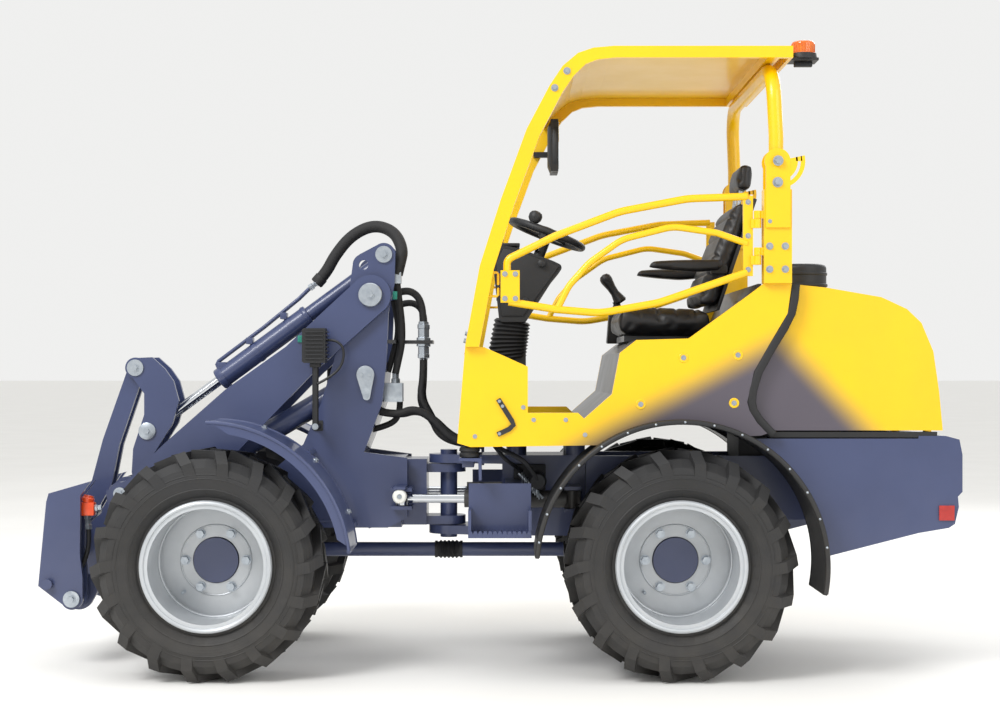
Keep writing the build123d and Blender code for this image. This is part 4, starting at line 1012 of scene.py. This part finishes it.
@dataclass
class OperatorPlace:
    """Padded seat, dash, boot, wheel knob, pedals and joystick."""

    ribs: Repeater
    body: str = "rear_frame"
    voxel: float = 9.0
    pressure: float = 4.0
    frames: int = 10
    fill: float = 0.7
    channel_depth: float = 6.0
    channel_half: float = 5.0
    column: Point = (0.358, 0, 0.934)

    def build(self) -> None:
        """Make everything that the operator touches."""
        self.seat()
        self.armrests()
        self.console()
        self.wheel_and_pedals()
        self.joystick()

    def seat(self) -> None:
        """Cushion, back and headrest as padded vinyl on a moulded shell."""
        side = [(424, 1150), (434, 1226), (742, 1213), (750, 1146), (470, 1146)]
        cushion = self.pad("seat_cushion_pad", side, (-228, 228), 16.0, 0.012)
        self.channels(cushion, Vector((0, 0, 1)), Vector((1, 0, 0)), (500, 565, 630, 695))
        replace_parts(cushion, "seat_cushion")
        side = [(700, 1240), (760, 1240), (880, 1588), (842, 1596)]
        back = self.pad("seat_back_pad", side, (-212, 212), 16.0, 0.012)
        rows = (1450, 1520, 1590, 1660, 1730)
        self.channels(back, Vector((-0.937, 0, 0.35)), Vector((0.35, 0, 0.937)), rows)
        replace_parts(back, "seat_back")
        side = [(848, 1650), (898, 1646), (904, 1732), (864, 1738)]
        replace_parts(self.pad("headrest_pad", side, (-115, 115), 14.0, 0.008), "seat_back")
        posts = Form()
        for y in (-60, 60):
            posts.tube([(860, y, 1575), (876, y, 1690)], 7.0, 12)
        posts.piece("headrest_posts", ZINC, self.body)
        shell = Form().slab([(764, 1222), (776, 1222), (906, 1604), (894, 1608)], -205, 205, 3.0)
        shell.piece("seat_shell", BLACK_PLASTIC, self.body)

    def armrests(self) -> None:
        """Padded armrests on their brackets."""
        outline = [(528, 1366), (536, 1386), (780, 1393), (772, 1358), (690, 1351)]
        for side, name in SIDES:
            low, high = sorted((side * 232.0, side * 279.0))
            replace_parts(self.pad(f"armrest_pad_{name}", outline, (low, high), 9.0, 0.005), "armrests")
            low, high = sorted((side * 200, side * 236))
            arm = Form().box((744, low, 1346), (800, high, 1376), 6.0)
            arm.piece(f"armrest_bracket_{name}", BLACK_PLASTIC, self.body)

    def pad(
        self, name: str, outline: Sequence[Pair], width: Pair, rounding: float, cap: float
    ) -> bpy.types.Object:
        """Inflate a rounded block into a padded piece.

        Args:
            name: the piece's name.
            outline: side view in X and Z, a little inside the finished pad.
            width: lowest and highest Y.
            rounding: rounding of the edges before inflating.
            cap: farthest that a point may move, in metres.

        Returns:
            The padded piece, riding on the rear frame.
        """
        piece = Form().slab(outline, width[0], width[1], rounding).piece(name, SEAT_VINYL, None, 180.0)
        remesh = piece.modifiers.new("even", "REMESH")
        remesh.mode = "VOXEL"
        remesh.voxel_size = self.voxel * MM
        self.apply(piece)
        rest = self.read(piece, "co")
        cloth = piece.modifiers.new("fill", "CLOTH")
        cloth.settings.use_pressure = True
        cloth.settings.uniform_pressure_force = self.pressure
        cloth.settings.effector_weights.gravity = 0.0
        cloth.point_cache.frame_start = 1
        cloth.point_cache.frame_end = self.frames
        for step in range(1, self.frames + 1):
            bpy.context.scene.frame_set(step)
        self.apply(piece)
        bpy.context.scene.frame_set(1)
        moved = self.read(piece, "co") - rest
        lengths = np.maximum(np.linalg.norm(moved, axis=1), 1e-9)
        held = rest + moved * np.minimum(1.0, cap / lengths)[:, None]
        piece.data.vertices.foreach_set("co", held.ravel())
        round_off = piece.modifiers.new("soften", "SUBSURF")
        round_off.levels = 1
        round_off.render_levels = 1
        self.apply(piece)
        piece.data.polygons.foreach_set("use_smooth", [True] * len(piece.data.polygons))
        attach(piece, self.body)
        return piece

    def apply(self, piece: bpy.types.Object) -> None:
        """Turn a piece and its modifiers into a plain mesh."""
        data = frozen(piece)
        piece.modifiers.clear()
        old = piece.data
        piece.data = data
        bpy.data.meshes.remove(old)
        data.materials.clear()
        data.materials.append(SEAT_VINYL.material)

    def channels(self, piece: bpy.types.Object, face: Vector, way: Vector, lines: Sequence[float]) -> None:
        """Press sewn channels into one side of a pad.

        Args:
            piece: the pad.
            face: direction that the sewn side looks in.
            way: direction across the channels.
            lines: distance of each channel along the way, in millimetres.
        """
        spots = self.read(piece, "co")
        toward = np.clip(self.read(piece, "normal") @ np.array(face), 0.0, 1.0)
        reach = spots @ np.array(way) / MM
        sunk = np.zeros(len(spots))
        for line in lines:
            sunk += np.exp(-(((reach - line) / self.channel_half) ** 2))
        depths = np.clip(sunk, 0.0, 1.0) * np.where(toward < 0.3, 0.0, toward) * self.channel_depth * MM
        spots -= depths[:, None] * np.array(face)
        piece.data.vertices.foreach_set("co", spots.ravel())
        piece.data.update()

    def read(self, piece: bpy.types.Object, kind: str) -> np.ndarray:
        """Rows of a mesh's points or normals.

        Args:
            piece: the mesh object.
            kind: "co" or "normal".

        Returns:
            One row of three numbers per vertex, in metres.
        """
        rows = np.empty(len(piece.data.vertices) * 3)
        piece.data.vertices.foreach_get(kind, rows)
        return rows.reshape(-1, 3)

    def console(self) -> None:
        """Ribbed boot, dash cover, switches and column stalk."""
        folds = 20
        rings = []
        for i in range(folds + 1):
            share = i / folds
            grow = 7.0 if i % 2 else 0.0
            middle = Vector((44 + 22 * share, 0, 1052 + 140 * share))
            rings.append(oval(middle, 66 - 8 * share + grow, 92 + 6 * share + grow, 32, 0.32 * (share - 0.5)))
        Form().loft(rings).piece("column_boot", RUBBER, self.body, 20)
        cover = [
            (8, 1388), (28, 1205), (104, 1205), (196, 1336), (232, 1380), (200, 1390), (96, 1430), (34, 1442),
        ]
        dash = Form().slab(cover, -116.0, -109.0, 3.0).box((18, -70, 1452), (92, 70, 1464), 4.0)
        dash.mirrored().piece("dash_covers", BLACK_PLASTIC, self.body)
        knobs = Form()
        turned = [(0, 15), (4, 15), (6, 12), (18, 12), (20, 9), (20, 0)]
        knobs.lathe((168, -116, 1388), (0, -1, 0), turned, 24)
        for x, z in ((70, 1330), (110, 1260)):
            knobs.lathe((x, -116, z), (0, -1, 0), [(0, 10), (10, 9), (12, 0)], 20)
        knobs.tube([(150, -20, 1440), (160, -95, 1460), (168, -150, 1474)], 5, 10)
        tip = [(0, 5), (6, 9), (22, 10), (30, 7), (32, 0)]
        knobs.lathe((168, -146, 1473), (0.1, -0.95, 0.25), tip, 20)
        knobs.piece("dash_switches", BLACK_PLASTIC, self.body)

    def wheel_and_pedals(self) -> None:
        """Spinner knob and hub cap of the steering wheel, and two pedals with grips."""
        ball = [(0, 9), (12, 9), (14, 16), (24, 23), (38, 24), (48, 19), (53, 9), (54, 0)]
        wheel = Form().lathe((134, -118, 1521), self.column, ball, 24)
        wheel.lathe((191, 0, 1513), self.column, [(0, 30), (3, 31), (9, 26), (11, 18), (12, 0)], 32)
        wheel.piece("wheel_knob", BLACK_PLASTIC, self.body)
        pedals = Form()
        for y in (-250, 250):
            pedals.slab([(-60, 850), (-52, 846), (8, 936), (0, 940)], y - 45, y + 45, 2.0)
            pedals.tube(at_y(y, ((-40, 880), (-70, 870), (-84, 850))), 8, 10)
        pedals.piece("foot_pedals", BLACK_ENAMEL, self.body)
        grips = [((-52 + 11 * i, y, 866 + 16.5 * i), (-0.83, 0, 0.55)) for y in (-250, 250) for i in range(5)]
        self.ribs.run("pedal_grips", grips, RUBBER, self.body, (5.0, 80.0, 7.0))

    def joystick(self) -> None:
        """Side box, gaiter and shaped grip in place of the plain solid."""
        box = Form().slab([(422, 1116), (432, 1242), (736, 1212), (756, 1116)], 302.0, 358.0, 6.0)
        rings = []
        for i in range(6):
            half = 26 - 3.2 * i + 4 * (i % 2)
            rings.append(oval(Vector((474 - 3 * i, 330, 1226 + 9 * i)), half, half, 24))
        box.loft(rings)
        box.tube([(470, 330, 1235), (456, 330, 1300)], 8.0, 14)
        grip = [
            (0, 0), (0, 20), (8, 25), (24, 21), (44, 16), (66, 17), (84, 20), (100, 23), (112, 22),
            (122, 15), (126, 0),
        ]
        box.lathe((478, 330, 1270), (-0.55, 0, 0.835), grip, 28)
        box.lathe((420, 308, 1362), (0, -1, 0.2), [(0, 0), (0, 8), (6, 8), (8, 0)], 16)
        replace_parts(box.piece("joystick_unit", BLACK_PLASTIC, self.body, 40), "joystick")


@dataclass
class CanopyDress:
    """Beacon ribs, mirror glass, strikers and bolts on the folding canopy, hood fittings and door bolts."""

    bolts: Repeater
    ribs: Repeater
    beacon: Pair = (1027.0, -400.0)
    lens_radius: float = 38.0
    lens_ribs: int = 24
    fold_pivot: Pair = (924.0, 1696.0)
    mirror_centre: Pair = (360.0, 1857.0)
    intake: Pair = (1090.0, 0.0)

    def build(self) -> None:
        """Make the fittings of the canopy, the hood and the doors."""
        self.beacon_lamp()
        self.canopy()
        self.fold_quadrants()
        self.hood()
        self.doors()

    def beacon_lamp(self) -> None:
        """Ribbed lens and skirt of the beacon."""
        x, y = self.beacon
        lens = Form()
        for a, b in ring_section(self.lens_radius, self.lens_ribs):
            foot = Vector((x + a, y + b, 0))
            lens.tube([foot + Vector((0, 0, 2067)), foot + Vector((0, 0, 2096))], 1.6, 6)
        lens.lathe((x, y, 2062), (0, 0, 1), [(0, 41), (3, 41), (5, 39), (5, 37)], 40)
        lens.piece("beacon_ribs", AMBER, "canopy")
        skirt = Form().lathe((x, y, 2045), (0, 0, 1), [(0, 48), (4, 48), (10, 45), (17, 44.5), (18, 40)], 40)
        skirt.box((x - 30, y - 10, 2022), (x + 30, y + 10, 2038), 3.0)
        skirt.piece("beacon_skirt", BLACK_PLASTIC, "canopy")

    def canopy(self) -> None:
        """Mirror, door strikers and post bolts."""
        Form().box((240.0, 299, 1769), (242.5, 421, 1946), 1.0).piece("mirror_glass", MIRROR_GLASS, "canopy")
        Form().loft(self.mirror_rings()).piece("mirror_shell", BLACK_PLASTIC, "canopy", 60)
        striker = Form()
        loop = ((-22, 1335), (12, 1335), (16, 1331), (16, 1262), (12, 1258), (-36, 1258))
        for side in (-1, 1):
            striker.tube(at_y(side * 480.0, loop), 4.5, 10)
        striker.piece("door_strikers", YELLOW_ENAMEL, "canopy")
        posts = both_sides(((240, 1990), (200, 1935)), 505.0)
        self.bolts.run("post_bolts", posts, ZINC, "canopy", FRAME_BOLT)
        out = (-0.98, 0, 0.18)
        feet = [((-88.0 + 4.6 * i, side * 480.0, 1112.0 + 24 * i), out) for side in (-1, 1) for i in (0, 1)]
        self.bolts.run("foot_bolts", feet, ZINC, "canopy", FOOT_BOLT)

    def fold_quadrants(self) -> None:
        """Slotted quadrant plate beside each fold pivot, welded to the rear post."""
        plates = Form()
        for inner, outer, start, end in (
            (20.0, 66.0, -82, 12), (76.0, 90.0, -82, 12), (60.0, 80.0, -82, -70), (60.0, 80.0, 0, 12)
        ):
            band = arc(self.fold_pivot, outer, start, end, 24) + arc(self.fold_pivot, inner, end, start, 24)
            plates.slab(band, -512.0, -506.0)
        plates.mirrored().piece("fold_quadrants", YELLOW_ENAMEL, "rear_frame")

    def mirror_rings(self) -> list[list[Vector]]:
        """Rings of the mirror's rounded back."""
        y, z = self.mirror_centre
        outline = soft_square(28, MIRROR_POWER)
        rings = []
        for back, half_y, half_z in ((238, 74, 101), (224, 74, 101), (210, 66, 93), (202, 48, 74)):
            rings.append([Vector((back, y + half_y * a, z + half_z * b)) for a, b in outline])
        return rings

    def hood(self) -> None:
        """Intake bands, rear louvres, latch handle and edge bead of the hood."""
        cap = Form()
        for foot, size in ((1312.0, 95.0), (1352.0, 93.6)):
            band = [(0, 90), (0, size), (2, size + 1.5), (8, size + 1.5), (10, size), (10, 90)]
            cap.lathe((*self.intake, foot), (0, 0, 1), band, 48)
        cap.lathe((*self.intake, 1388), (0, 0, 1), [(0, 62), (4, 60), (4, 0)], 40)
        cap.piece("intake_bands", BLACK_PLASTIC, "hood")
        plate = Form().slab([(1446, 1072), (1466, 950), (1470.5, 950.6), (1450.5, 1072.6)], -320, 320, 2.0)
        plate.box((1470, -80, 866), (1490, 80, 892), 6.0).piece("rear_grille", BLACK_PLASTIC, "hood")
        rows = [((1452.0 + 1.9 * i, 0.0, 1061.0 - 12.3 * i), (0.98, 0, 0.35)) for i in range(9)]
        self.ribs.run("grille_slats", rows, BLACK_PLASTIC, "hood", (6.0, 604.0, 9.0))
        edge = ((913, 819), (850, 886), (842, 914), (863, 1012), (914, 1102), (972, 1202), (990, 1298))
        Form().tube(at_y(-438.0, edge), 4.0, 8).mirrored().piece("hood_edge_bead", RUBBER, "hood")

    def doors(self) -> None:
        """Latch knob, its sliding bolt and the hinge bolts of each door."""
        knob = [(0, 9), (14, 8), (16, 14), (30, 15), (36, 11), (38, 0)]
        for side, name in SIDES:
            body, out = f"door_{name}", Y_OUT[side]
            spots = [((832, side * 486.0, z), out) for z in (1345, 1455, 1565)]
            spots += [((x, side * 494.0, z), out) for z in (1250, 1330) for x in (38, 72)]
            self.bolts.run(f"door_bolts_{name}", spots, ZINC, body, DOOR_BOLT)
            latch = Form().lathe((55, side * 466, 1290), (0, -side, 0), knob, 24)
            latch.tube([(25, side * 480, 1290), (8, side * 480, 1290)], 6.0, 12)
            latch.piece(f"door_latch_{name}", BLACK_PLASTIC, body)


@dataclass
class FrontDress:
    """Pin covers, lamp fins, fender edges, buffers and hoses of the front frame."""

    bolts: Repeater
    ribs: Repeater
    body: str = "front_frame"
    boom_pivot: Pair = (-425.0, 1276.0)
    tilt_base: Pair = (-381.0, 1418.0)
    lift_base: Pair = (-444.0, 1001.0)
    keeper_tip: Pair = (-440.0, 925.0)
    crank_rod: Pair = (-1220.0, 802.0)
    fender_centre: Pair = (FRONT_WHEEL_X, WHEEL_RADIUS)

    def build(self) -> None:
        """Make the front frame's fittings."""
        self.pins()
        self.lamps()
        self.fenders()
        self.fittings()
        self.couplings()
        self.hoses()
        self.crossings()

    def pins(self) -> None:
        """Zinc cover discs with their bolts, and the teardrop keeper of the lift pin."""
        x, z = self.boom_pivot
        discs = Form().lathe((x, -190.0, z), (0, -1, 0), [(-3, 41), (2, 41), (4, 39), (4, 0)], 40)
        keeper = arc(self.lift_base, 31.0, -20, 200, 20) + arc(self.keeper_tip, 13.0, 200, 340, 10)
        discs.slab(keeper, -164.0, -158.2, 1.2).mirrored().piece("pin_covers", ZINC, self.body)
        holes = ((-458, 1001), (-430, 1001), self.keeper_tip)
        for name, body, spots, reach, size in (
            ("boom_pin_bolts", self.body, (self.boom_pivot,), 194.0, PIVOT_BOLT),
            ("keeper_bolts", self.body, holes, 164.0, KEEPER_BOLT),
            ("tilt_base_pin_bolts", "tilt_base_pin", (self.tilt_base,), 158.0, PIN_BOLT),
            ("link_pin_bolts", "link_pin", ((-1262.0, 1025.0),), 70.0, LINK_BOLT),
            ("bell_crank_bolts", "bell_crank", (self.crank_rod,), 70.0, LINK_BOLT),
            ("crank_pins_bolts", "crank_pins", ((-1290.0, 590.0),), 184.0, PIN_BOLT),
            ("hitch_pins_bolts", "hitch_pins", ((-1431.0, 240.0),), 284.0, PIN_BOLT),
        ):
            self.bolts.run(name, both_sides(spots, reach), ZINC, body, size)
        x, z = self.crank_rod
        cover = Form().lathe((x, -70, z), (0, -1, 0), [(-6.5, 30), (0.6, 30), (1.2, 29), (1.2, 0)], 40)
        cover.mirrored().piece("crank_rod_covers", ZINC, "bell_crank")

    def lamps(self) -> None:
        """Cooling fins, lens, bezel, foot bolts and cable of each work lamp."""
        levels = [1056.0 + 13.0 * i for i in range(8)]
        fins = [((-608.5, side * 277.0, z), Y_OUT[side]) for side in (-1, 1) for z in levels]
        self.ribs.run("lamp_fins", fins, BLACK_ENAMEL, self.body, (62.0, 4.0, 9.0), "black_plastic")
        fins = [((-569.0, side * 240.0, z), (1, 0, 0)) for side in (-1, 1) for z in levels]
        self.ribs.run("lamp_back_fins", fins, BLACK_ENAMEL, self.body, (4.0, 58.0, 9.0), "black_plastic")
        lens = Form().box((-648.5, -268, 1050), (-645.5, -212, 1150), 1.0)
        lens.mirrored().piece("lamp_lenses", CLEAR_LENS, self.body)
        ring = [(-647, y, z) for y, z in ((-272, 1046), (-208, 1046), (-208, 1154), (-272, 1154))]
        bezel = Form().tube(ring, 4.0, 6, closed=True)
        bezel.box((-626, -256, 1026), (-590, -224, 1046), 3.0)
        bezel.box((-624, -156, 806), (-592, -149.5, 842), 2.0)
        cable = [
            (-571, -240, 1118), (-540, -242, 1122), (-508, -246, 1090), (-516, -248, 1030), (-560, -250, 990),
            (-600, -250, 970),
        ]
        bezel.tube(smooth_route(cable), 4.5, 10)
        bezel.mirrored().piece("lamp_bezels", BLACK_PLASTIC, self.body)
        self.bolts.run("lamp_bolts", both_sides(((-608, 824),), 251.0), ZINC, self.body, FOOT_BOLT)

    def fenders(self) -> None:
        """Rolled edge, skirt and bolts of each front fender."""
        centre = self.fender_centre
        edge = Form()
        for y in (-556.0, -300.0):
            edge.tube(at_y(y, arc(centre, 468.0, 6.5, 89.5, 48)), 6.0, 10)
        skirt = arc(centre, 469.0, 8.0, 88.0, 48) + arc(centre, 436.0, 80.0, 12.0, 40)
        edge.slab(skirt, -556.0, -552.0)
        edge.tube([(-466.5, -554, 430), (-466.5, -302, 430)], 6.0, 10)
        edge.mirrored().piece("fender_edges", BLUE_ENAMEL, self.body, 60)
        ways = [(math.cos(math.radians(a)), 0.0, math.sin(math.radians(a))) for a in (20, 45, 70)]
        spots = []
        for side in (-1, 1):
            spots += [((centre[0] + 471 * w[0], side * 330.0, centre[1] + 471 * w[2]), w) for w in ways]
        self.bolts.run("fender_bolts", spots, ZINC, self.body, FRAME_BOLT)

    def fittings(self) -> None:
        """Steering buffers on brackets, teal plugs and frame welds."""
        cushion = [(0, 20), (2, 24), (22, 24), (27, 20), (27, 9), (20, 9), (20, 0)]
        buffer = Form().lathe((-318, -270, 588.5), (0, -1, 0), cushion, 36)
        buffer.mirrored().piece("steering_buffers", NYLON, self.body)
        bracket = Form().box((-338, -298, 612.0), (-298, -190, 620), 2.0)
        bracket.mirrored().piece("buffer_brackets", BLUE_ENAMEL, self.body)
        self.bolts.run("buffer_bolts", both_sides(((-318, 588.5),), 290.0), ZINC, self.body, KEEPER_BOLT)
        plug = Form().box((-351, -150, 1262), (-335, -130, 1290), 2.0)
        plug.mirrored().piece("tower_plugs", TEAL, self.body)
        clip = Form().box((-676, -185, 1112), (-652, -177.8, 1136), 2.0)
        clip.mirrored().piece("boom_clips", TEAL, "boom")
        for side, name in SIDES:
            line = at_y(side * 152.0, ((-1055, 492), (-800, 492), (-480, 492)))
            Form().tube(line, 3.5, 6).piece(f"frame_weld_{name}", BLUE_ENAMEL, self.body)

    def couplings(self) -> None:
        """Hexagon hose couplings on the bracket and the two valve blocks."""
        upper = [(0, 24), (9, 24), (11, 19), (40, 19), (42, 21), (56, 21), (58, 17), (66, 17), (66, 0)]
        lower = [(0, 24), (8, 24), (10, 18.5), (34, 18.5), (36, 20), (49, 20), (52, 13), (56, 13)]
        coupling = Form()
        for y in (-40, 0, 40):
            coupling.lathe((-250, y, 1122), (0, 0, 1), upper, 6)
            coupling.lathe((-250, y, 1109), (0, 0, -1), lower, 6)
        coupling.box((-386, -104, 905), (-318, -36, 972), 4.0)
        coupling.box((-352, -130, 1318), (-322, -92, 1358), 3.0)
        for y in (-88, -55):
            coupling.lathe((-345, y, 972), (0, 0, 1), [(0, 15), (14, 15), (16, 11), (34, 11), (34, 0)], 6)
        coupling.piece("hose_couplings", ZINC, self.body, 20)

    def hoses(self) -> None:
        """Hydraulic hoses that stay on the tower."""
        still = Form()
        for route, radius in (
            (
                [(-342, -70, 1286), (-310, -70, 1300), (-268, -50, 1282), (-250, -40, 1230),
                 (-250, -40, 1186)], 13.0,
            ),
            ([(-342, 66, 1250), (-310, 66, 1262), (-270, 50, 1250), (-250, 40, 1215), (-250, 40, 1186)], 12),
            (
                [(-338, -111, 1318), (-330, -108, 1250), (-322, -94, 1180), (-322, -88, 1110),
                 (-335, -88, 1050), (-345, -88, 1004)], 13.0,
            ),
            (
                [(-372, -64, 1010), (-352, -62, 1080), (-336, -72, 1140), (-338, -74, 1200),
                 (-352, -72, 1262)], 11.0,
            ),
            ([(-330, -70, 905), (-330, -74, 862), (-362, -70, 822), (-440, -60, 805)], 11.0),
        ):
            still.tube(smooth_route(route), radius, 14)
        still.piece("tower_hoses", SLEEVE, self.body, 60)

    def crossings(self) -> None:
        """Hoses and shaft boot that run across the steering pivot."""
        moving = Form()
        for route, radius in (
            (
                [(-250, -40, 1056), (-250, -42, 990), (-262, -52, 920), (-220, -62, 850), (-196, -70, 790),
                 (-130, -76, 758), (-50, -78, 751)], 12.0,
            ),
            (
                [(-250, 0, 1056), (-250, 0, 980), (-266, -8, 905), (-226, -22, 845), (-190, -34, 796),
                 (-130, -44, 764), (-50, -46, 751)], 12.0,
            ),
            (
                [(-250, 40, 1056), (-250, 42, 985), (-258, 48, 915), (-222, 56, 850), (-192, 62, 792),
                 (-130, 66, 760), (-50, 66, 751)], 12.0,
            ),
            (
                [(-398, -96, 872), (-340, -98, 858), (-280, -100, 884), (-216, -98, 850), (-160, -104, 786),
                 (-100, -108, 757), (-50, -108, 751)], 14.0,
            ),
            (
                [(-398, 90, 866), (-340, 92, 852), (-280, 94, 872), (-216, 94, 842), (-160, 98, 784),
                 (-100, 100, 757), (-50, 100, 751)], 13.0,
            ),
        ):
            moving.tube(smooth_route(route), radius, 14)
        crossing = moving.piece("pivot_hoses", SLEEVE, None, 60)
        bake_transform(crossing)
        folds = [(14 + 7 * i, 33 if i % 2 else 27) for i in range(11)]
        profile = [(0, 25), (0, 30), (9, 30), (10, 27), *folds, (88, 27), (89, 30), (98, 30), (98, 25)]
        boot = Form().lathe((-209, 0, WHEEL_RADIUS), (1, 0, 0), profile, 36)
        joint = boot.piece("shaft_boot", RUBBER, None, 50)
        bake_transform(joint)


@dataclass
class LoaderDress:
    """Pipe, sleeved hose and glands of the cylinders, and the coupler on the hitch."""

    base: Vector = Vector((-381, 0, 1418))
    way: Vector = Vector((-0.8061, 0, -0.5918))
    rise: Vector = Vector((-0.5918, 0, 0.8061))
    lift_base: Vector = Vector((-444, -85, 1001))
    lift_way: Vector = Vector((-0.8657, 0, -0.5005))
    hose_diameter: float = 42.0

    def at(self, along: float, up: float, y: float = 0.0) -> Vector:
        """Point beside the tilt cylinder: distance along it, height above its axis, and Y."""
        return self.base + self.way * along + self.rise * up + Vector((0, y, 0))

    def build(self) -> None:
        """Make the loader's fittings."""
        self.tilt_cylinder()
        self.sleeved_hose()
        self.lift_cylinders()
        self.coupler()

    def tilt_cylinder(self) -> None:
        """Pipe, clamps, end gland and ports on the tilt barrel."""
        pipe = Form()
        for y in (-12, 12):
            line = ((282, 74), (340, 66), (500, 58), (700, 56), (712, 50), (716, 30))
            pipe.tube([self.at(along, up, y) for along, up in line], 6.0, 12)
        port = self.at(700, 34)
        pipe.box(port - Vector((16, 22, 12)), port + Vector((16, 22, 14)), 4.0)
        pipe.piece("tilt_pipes", BLUE_ENAMEL, "tilt_barrel")
        gland = Form()
        end = [(0, 36), (0, 39.5), (22, 39.5), (26, 37), (29, 26), (29, 19)]
        gland.lathe(self.at(712, 0), self.way, end, 40)
        gland.lathe(self.at(342, 0), self.way, [(0, 27), (2, 36), (10, 38), (16, 38), (20, 36)], 40)
        for along in (410, 560):
            gland.lathe(self.at(along, 0), self.way, [(0, 36), (0, 38), (16, 38), (16, 36)], 40)
            middle = self.at(along + 8, 48)
            gland.box(middle - Vector((12, 24, 12)), middle + Vector((12, 24, 12)), 3.0)
        gland.piece("tilt_glands", BLUE_ENAMEL, "tilt_barrel")
        ends = Form()
        nut = [(0, 11), (14, 11), (16, 8), (24, 8), (26, 11), (44, 11), (46, 8)]
        for y in (-12, 12):
            ends.lathe(self.at(286, 74, y), -self.way, nut, 6)
        ends.piece("pipe_ends", ZINC, "tilt_barrel", 20)

    def sleeved_hose(self) -> None:
        """Braided sleeve from the pipes over the tower's top to its rear fitting."""
        route = [
            self.at(246, 76), self.at(205, 84), (-566, 0, 1424), (-508, 0, 1496), (-428, -8, 1534),
            (-352, -40, 1508), (-318, -90, 1440), (-328, -111, 1390), (-338, -111, 1350),
        ]
        points = smooth_route(route, 8)
        hose = Form().tube(points, self.hose_diameter / 2, 20).piece("sleeved_hose", SLEEVE, None, 60)
        profile = [(0, 20), (0, 23.5), (26, 23.5), (30, 21), (30, 8)]
        collar = Form().lathe(points[2], points[0] - points[2], profile, 24)
        collar.piece("sleeve_collar", RUBBER, "tilt_base_pin")
        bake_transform(hose)

    def lift_cylinders(self) -> None:
        """End glands and rear bands on the lift barrels."""
        gland = Form()
        end = [(0, 36), (0, 39), (22, 39), (25, 36), (28, 28), (28, 23)]
        band = [(0, 36), (0, 38.5), (14, 38.5), (14, 36)]
        for along, profile in ((498, end), (70, band)):
            gland.lathe(self.lift_base + self.lift_way * along, self.lift_way, profile, 36)
        gland.mirrored().piece("lift_glands", BLUE_ENAMEL, "lift_barrels")

    def coupler(self) -> None:
        """Orange quick coupler with its fittings and hose on the hitch's left side."""
        body = Form().box((-1414, -250, 520), (-1362, -214, 566), 5.0)
        cap = [(0, 19), (6, 21), (14, 21), (18, 17), (22, 17), (24, 0)]
        body.lathe((-1388, -232, 566), (0.2, 0, 1), cap, 24).piece("coupler_body", ORANGE, "hitch")
        nut = [(0, 15), (10, 15), (12, 11), (30, 11), (32, 13), (46, 13), (48, 9)]
        ends = Form().lathe((-1388, -232, 520), (0.1, 0, -1), nut, 6)
        ends.lathe((-1362, -232, 545), (1, 0, 0.1), [(0, 12), (8, 12), (10, 9), (22, 9), (22, 0)], 6)
        ends.piece("coupler_ends", ZINC, "hitch", 20)
        line = at_y(-232, ((-1384, 474), (-1382, 430), (-1392, 380), (-1410, 340), (-1432, 318)))
        Form().tube(smooth_route(line), 8.0, 12).piece("coupler_hose", RUBBER, "hitch")


@dataclass
class Studio:
    """Pale floor, soft lights and the camera of the photograph."""

    camera_at: Point = (22.0, -5860.0, 1017.0)
    lens_mm: float = 59.26
    shift_up: float = 0.007
    clip_end: float = 500.0
    floor_half: float = 150.0
    aim: Point = (0.0, 0.0, 0.9)
    surround: str = "#FBFBFA"
    surround_strength: float = 0.9

    def build(self) -> None:
        """Set the stage."""
        self.floor()
        self.lights()
        self.camera()

    def floor(self) -> None:
        """Plain floor under the tyres."""
        half = self.floor_half
        data = bpy.data.meshes.new("floor")
        corners = [(-half, -half, 0), (half, -half, 0), (half, half, 0), (-half, half, 0)]
        data.from_pydata(corners, [], [(0, 1, 2, 3)])
        data.materials.append(STUDIO_FLOOR.material)
        floor = show("floor", data)

    def lights(self) -> None:
        """Large soft lamps and a pale surround."""
        for name, place, power, size in (
            ("key_light", (-3.6, -4.6, 5.6), 340.0, 2.6),
            ("fill_light", (4.6, -4.8, 3.4), 90.0, 3.6),
            ("top_light", (0.2, 0.6, 6.8), 90.0, 5.0),
            ("rim_light", (3.4, 4.8, 4.2), 100.0, 3.0),
        ):
            lamp = bpy.data.lights.new(name, "AREA")
            lamp.energy = power
            lamp.size = size
            holder = show(name, lamp)
            holder.location = place
            way = Vector(self.aim) - Vector(place)
            holder.rotation_euler = way.to_track_quat("-Z", "Y").to_euler()
        world = bpy.data.worlds.new("studio_surround")
        world.use_nodes = True
        back = world.node_tree.nodes["Background"]
        back.inputs["Color"].default_value = linear(self.surround)
        back.inputs["Strength"].default_value = self.surround_strength
        bpy.context.scene.world = world

    def camera(self) -> None:
        """Level camera at the photograph's distance and height."""
        data = bpy.data.cameras.new("camera")
        data.lens = self.lens_mm
        data.shift_y = self.shift_up
        data.clip_end = self.clip_end
        holder = show("camera", data)
        holder.location = mm(self.camera_at)
        holder.rotation_euler = (math.pi / 2, 0.0, 0.0)
        bpy.context.scene.camera = holder
        bpy.context.scene.view_settings.view_transform = "Standard"


def main() -> None:
    """Dress the machine part by part and set the stage."""
    logging.basicConfig(level=logging.INFO, format="%(name)s %(message)s")
    coat_nodes()
    bolts, ribs, studs = hex_bolt_tree(), rib_tree(), stud_tree()
    Studio().build()
    for corner in WHEELS:
        WheelDress(corner, bolts).build()
    CabDress(bolts, ribs, studs).build()
    OperatorPlace(ribs).build()
    CanopyDress(bolts, ribs).build()
    FrontDress(bolts, ribs).build()
    LoaderDress().build()


if __name__ == "__main__":
    main()
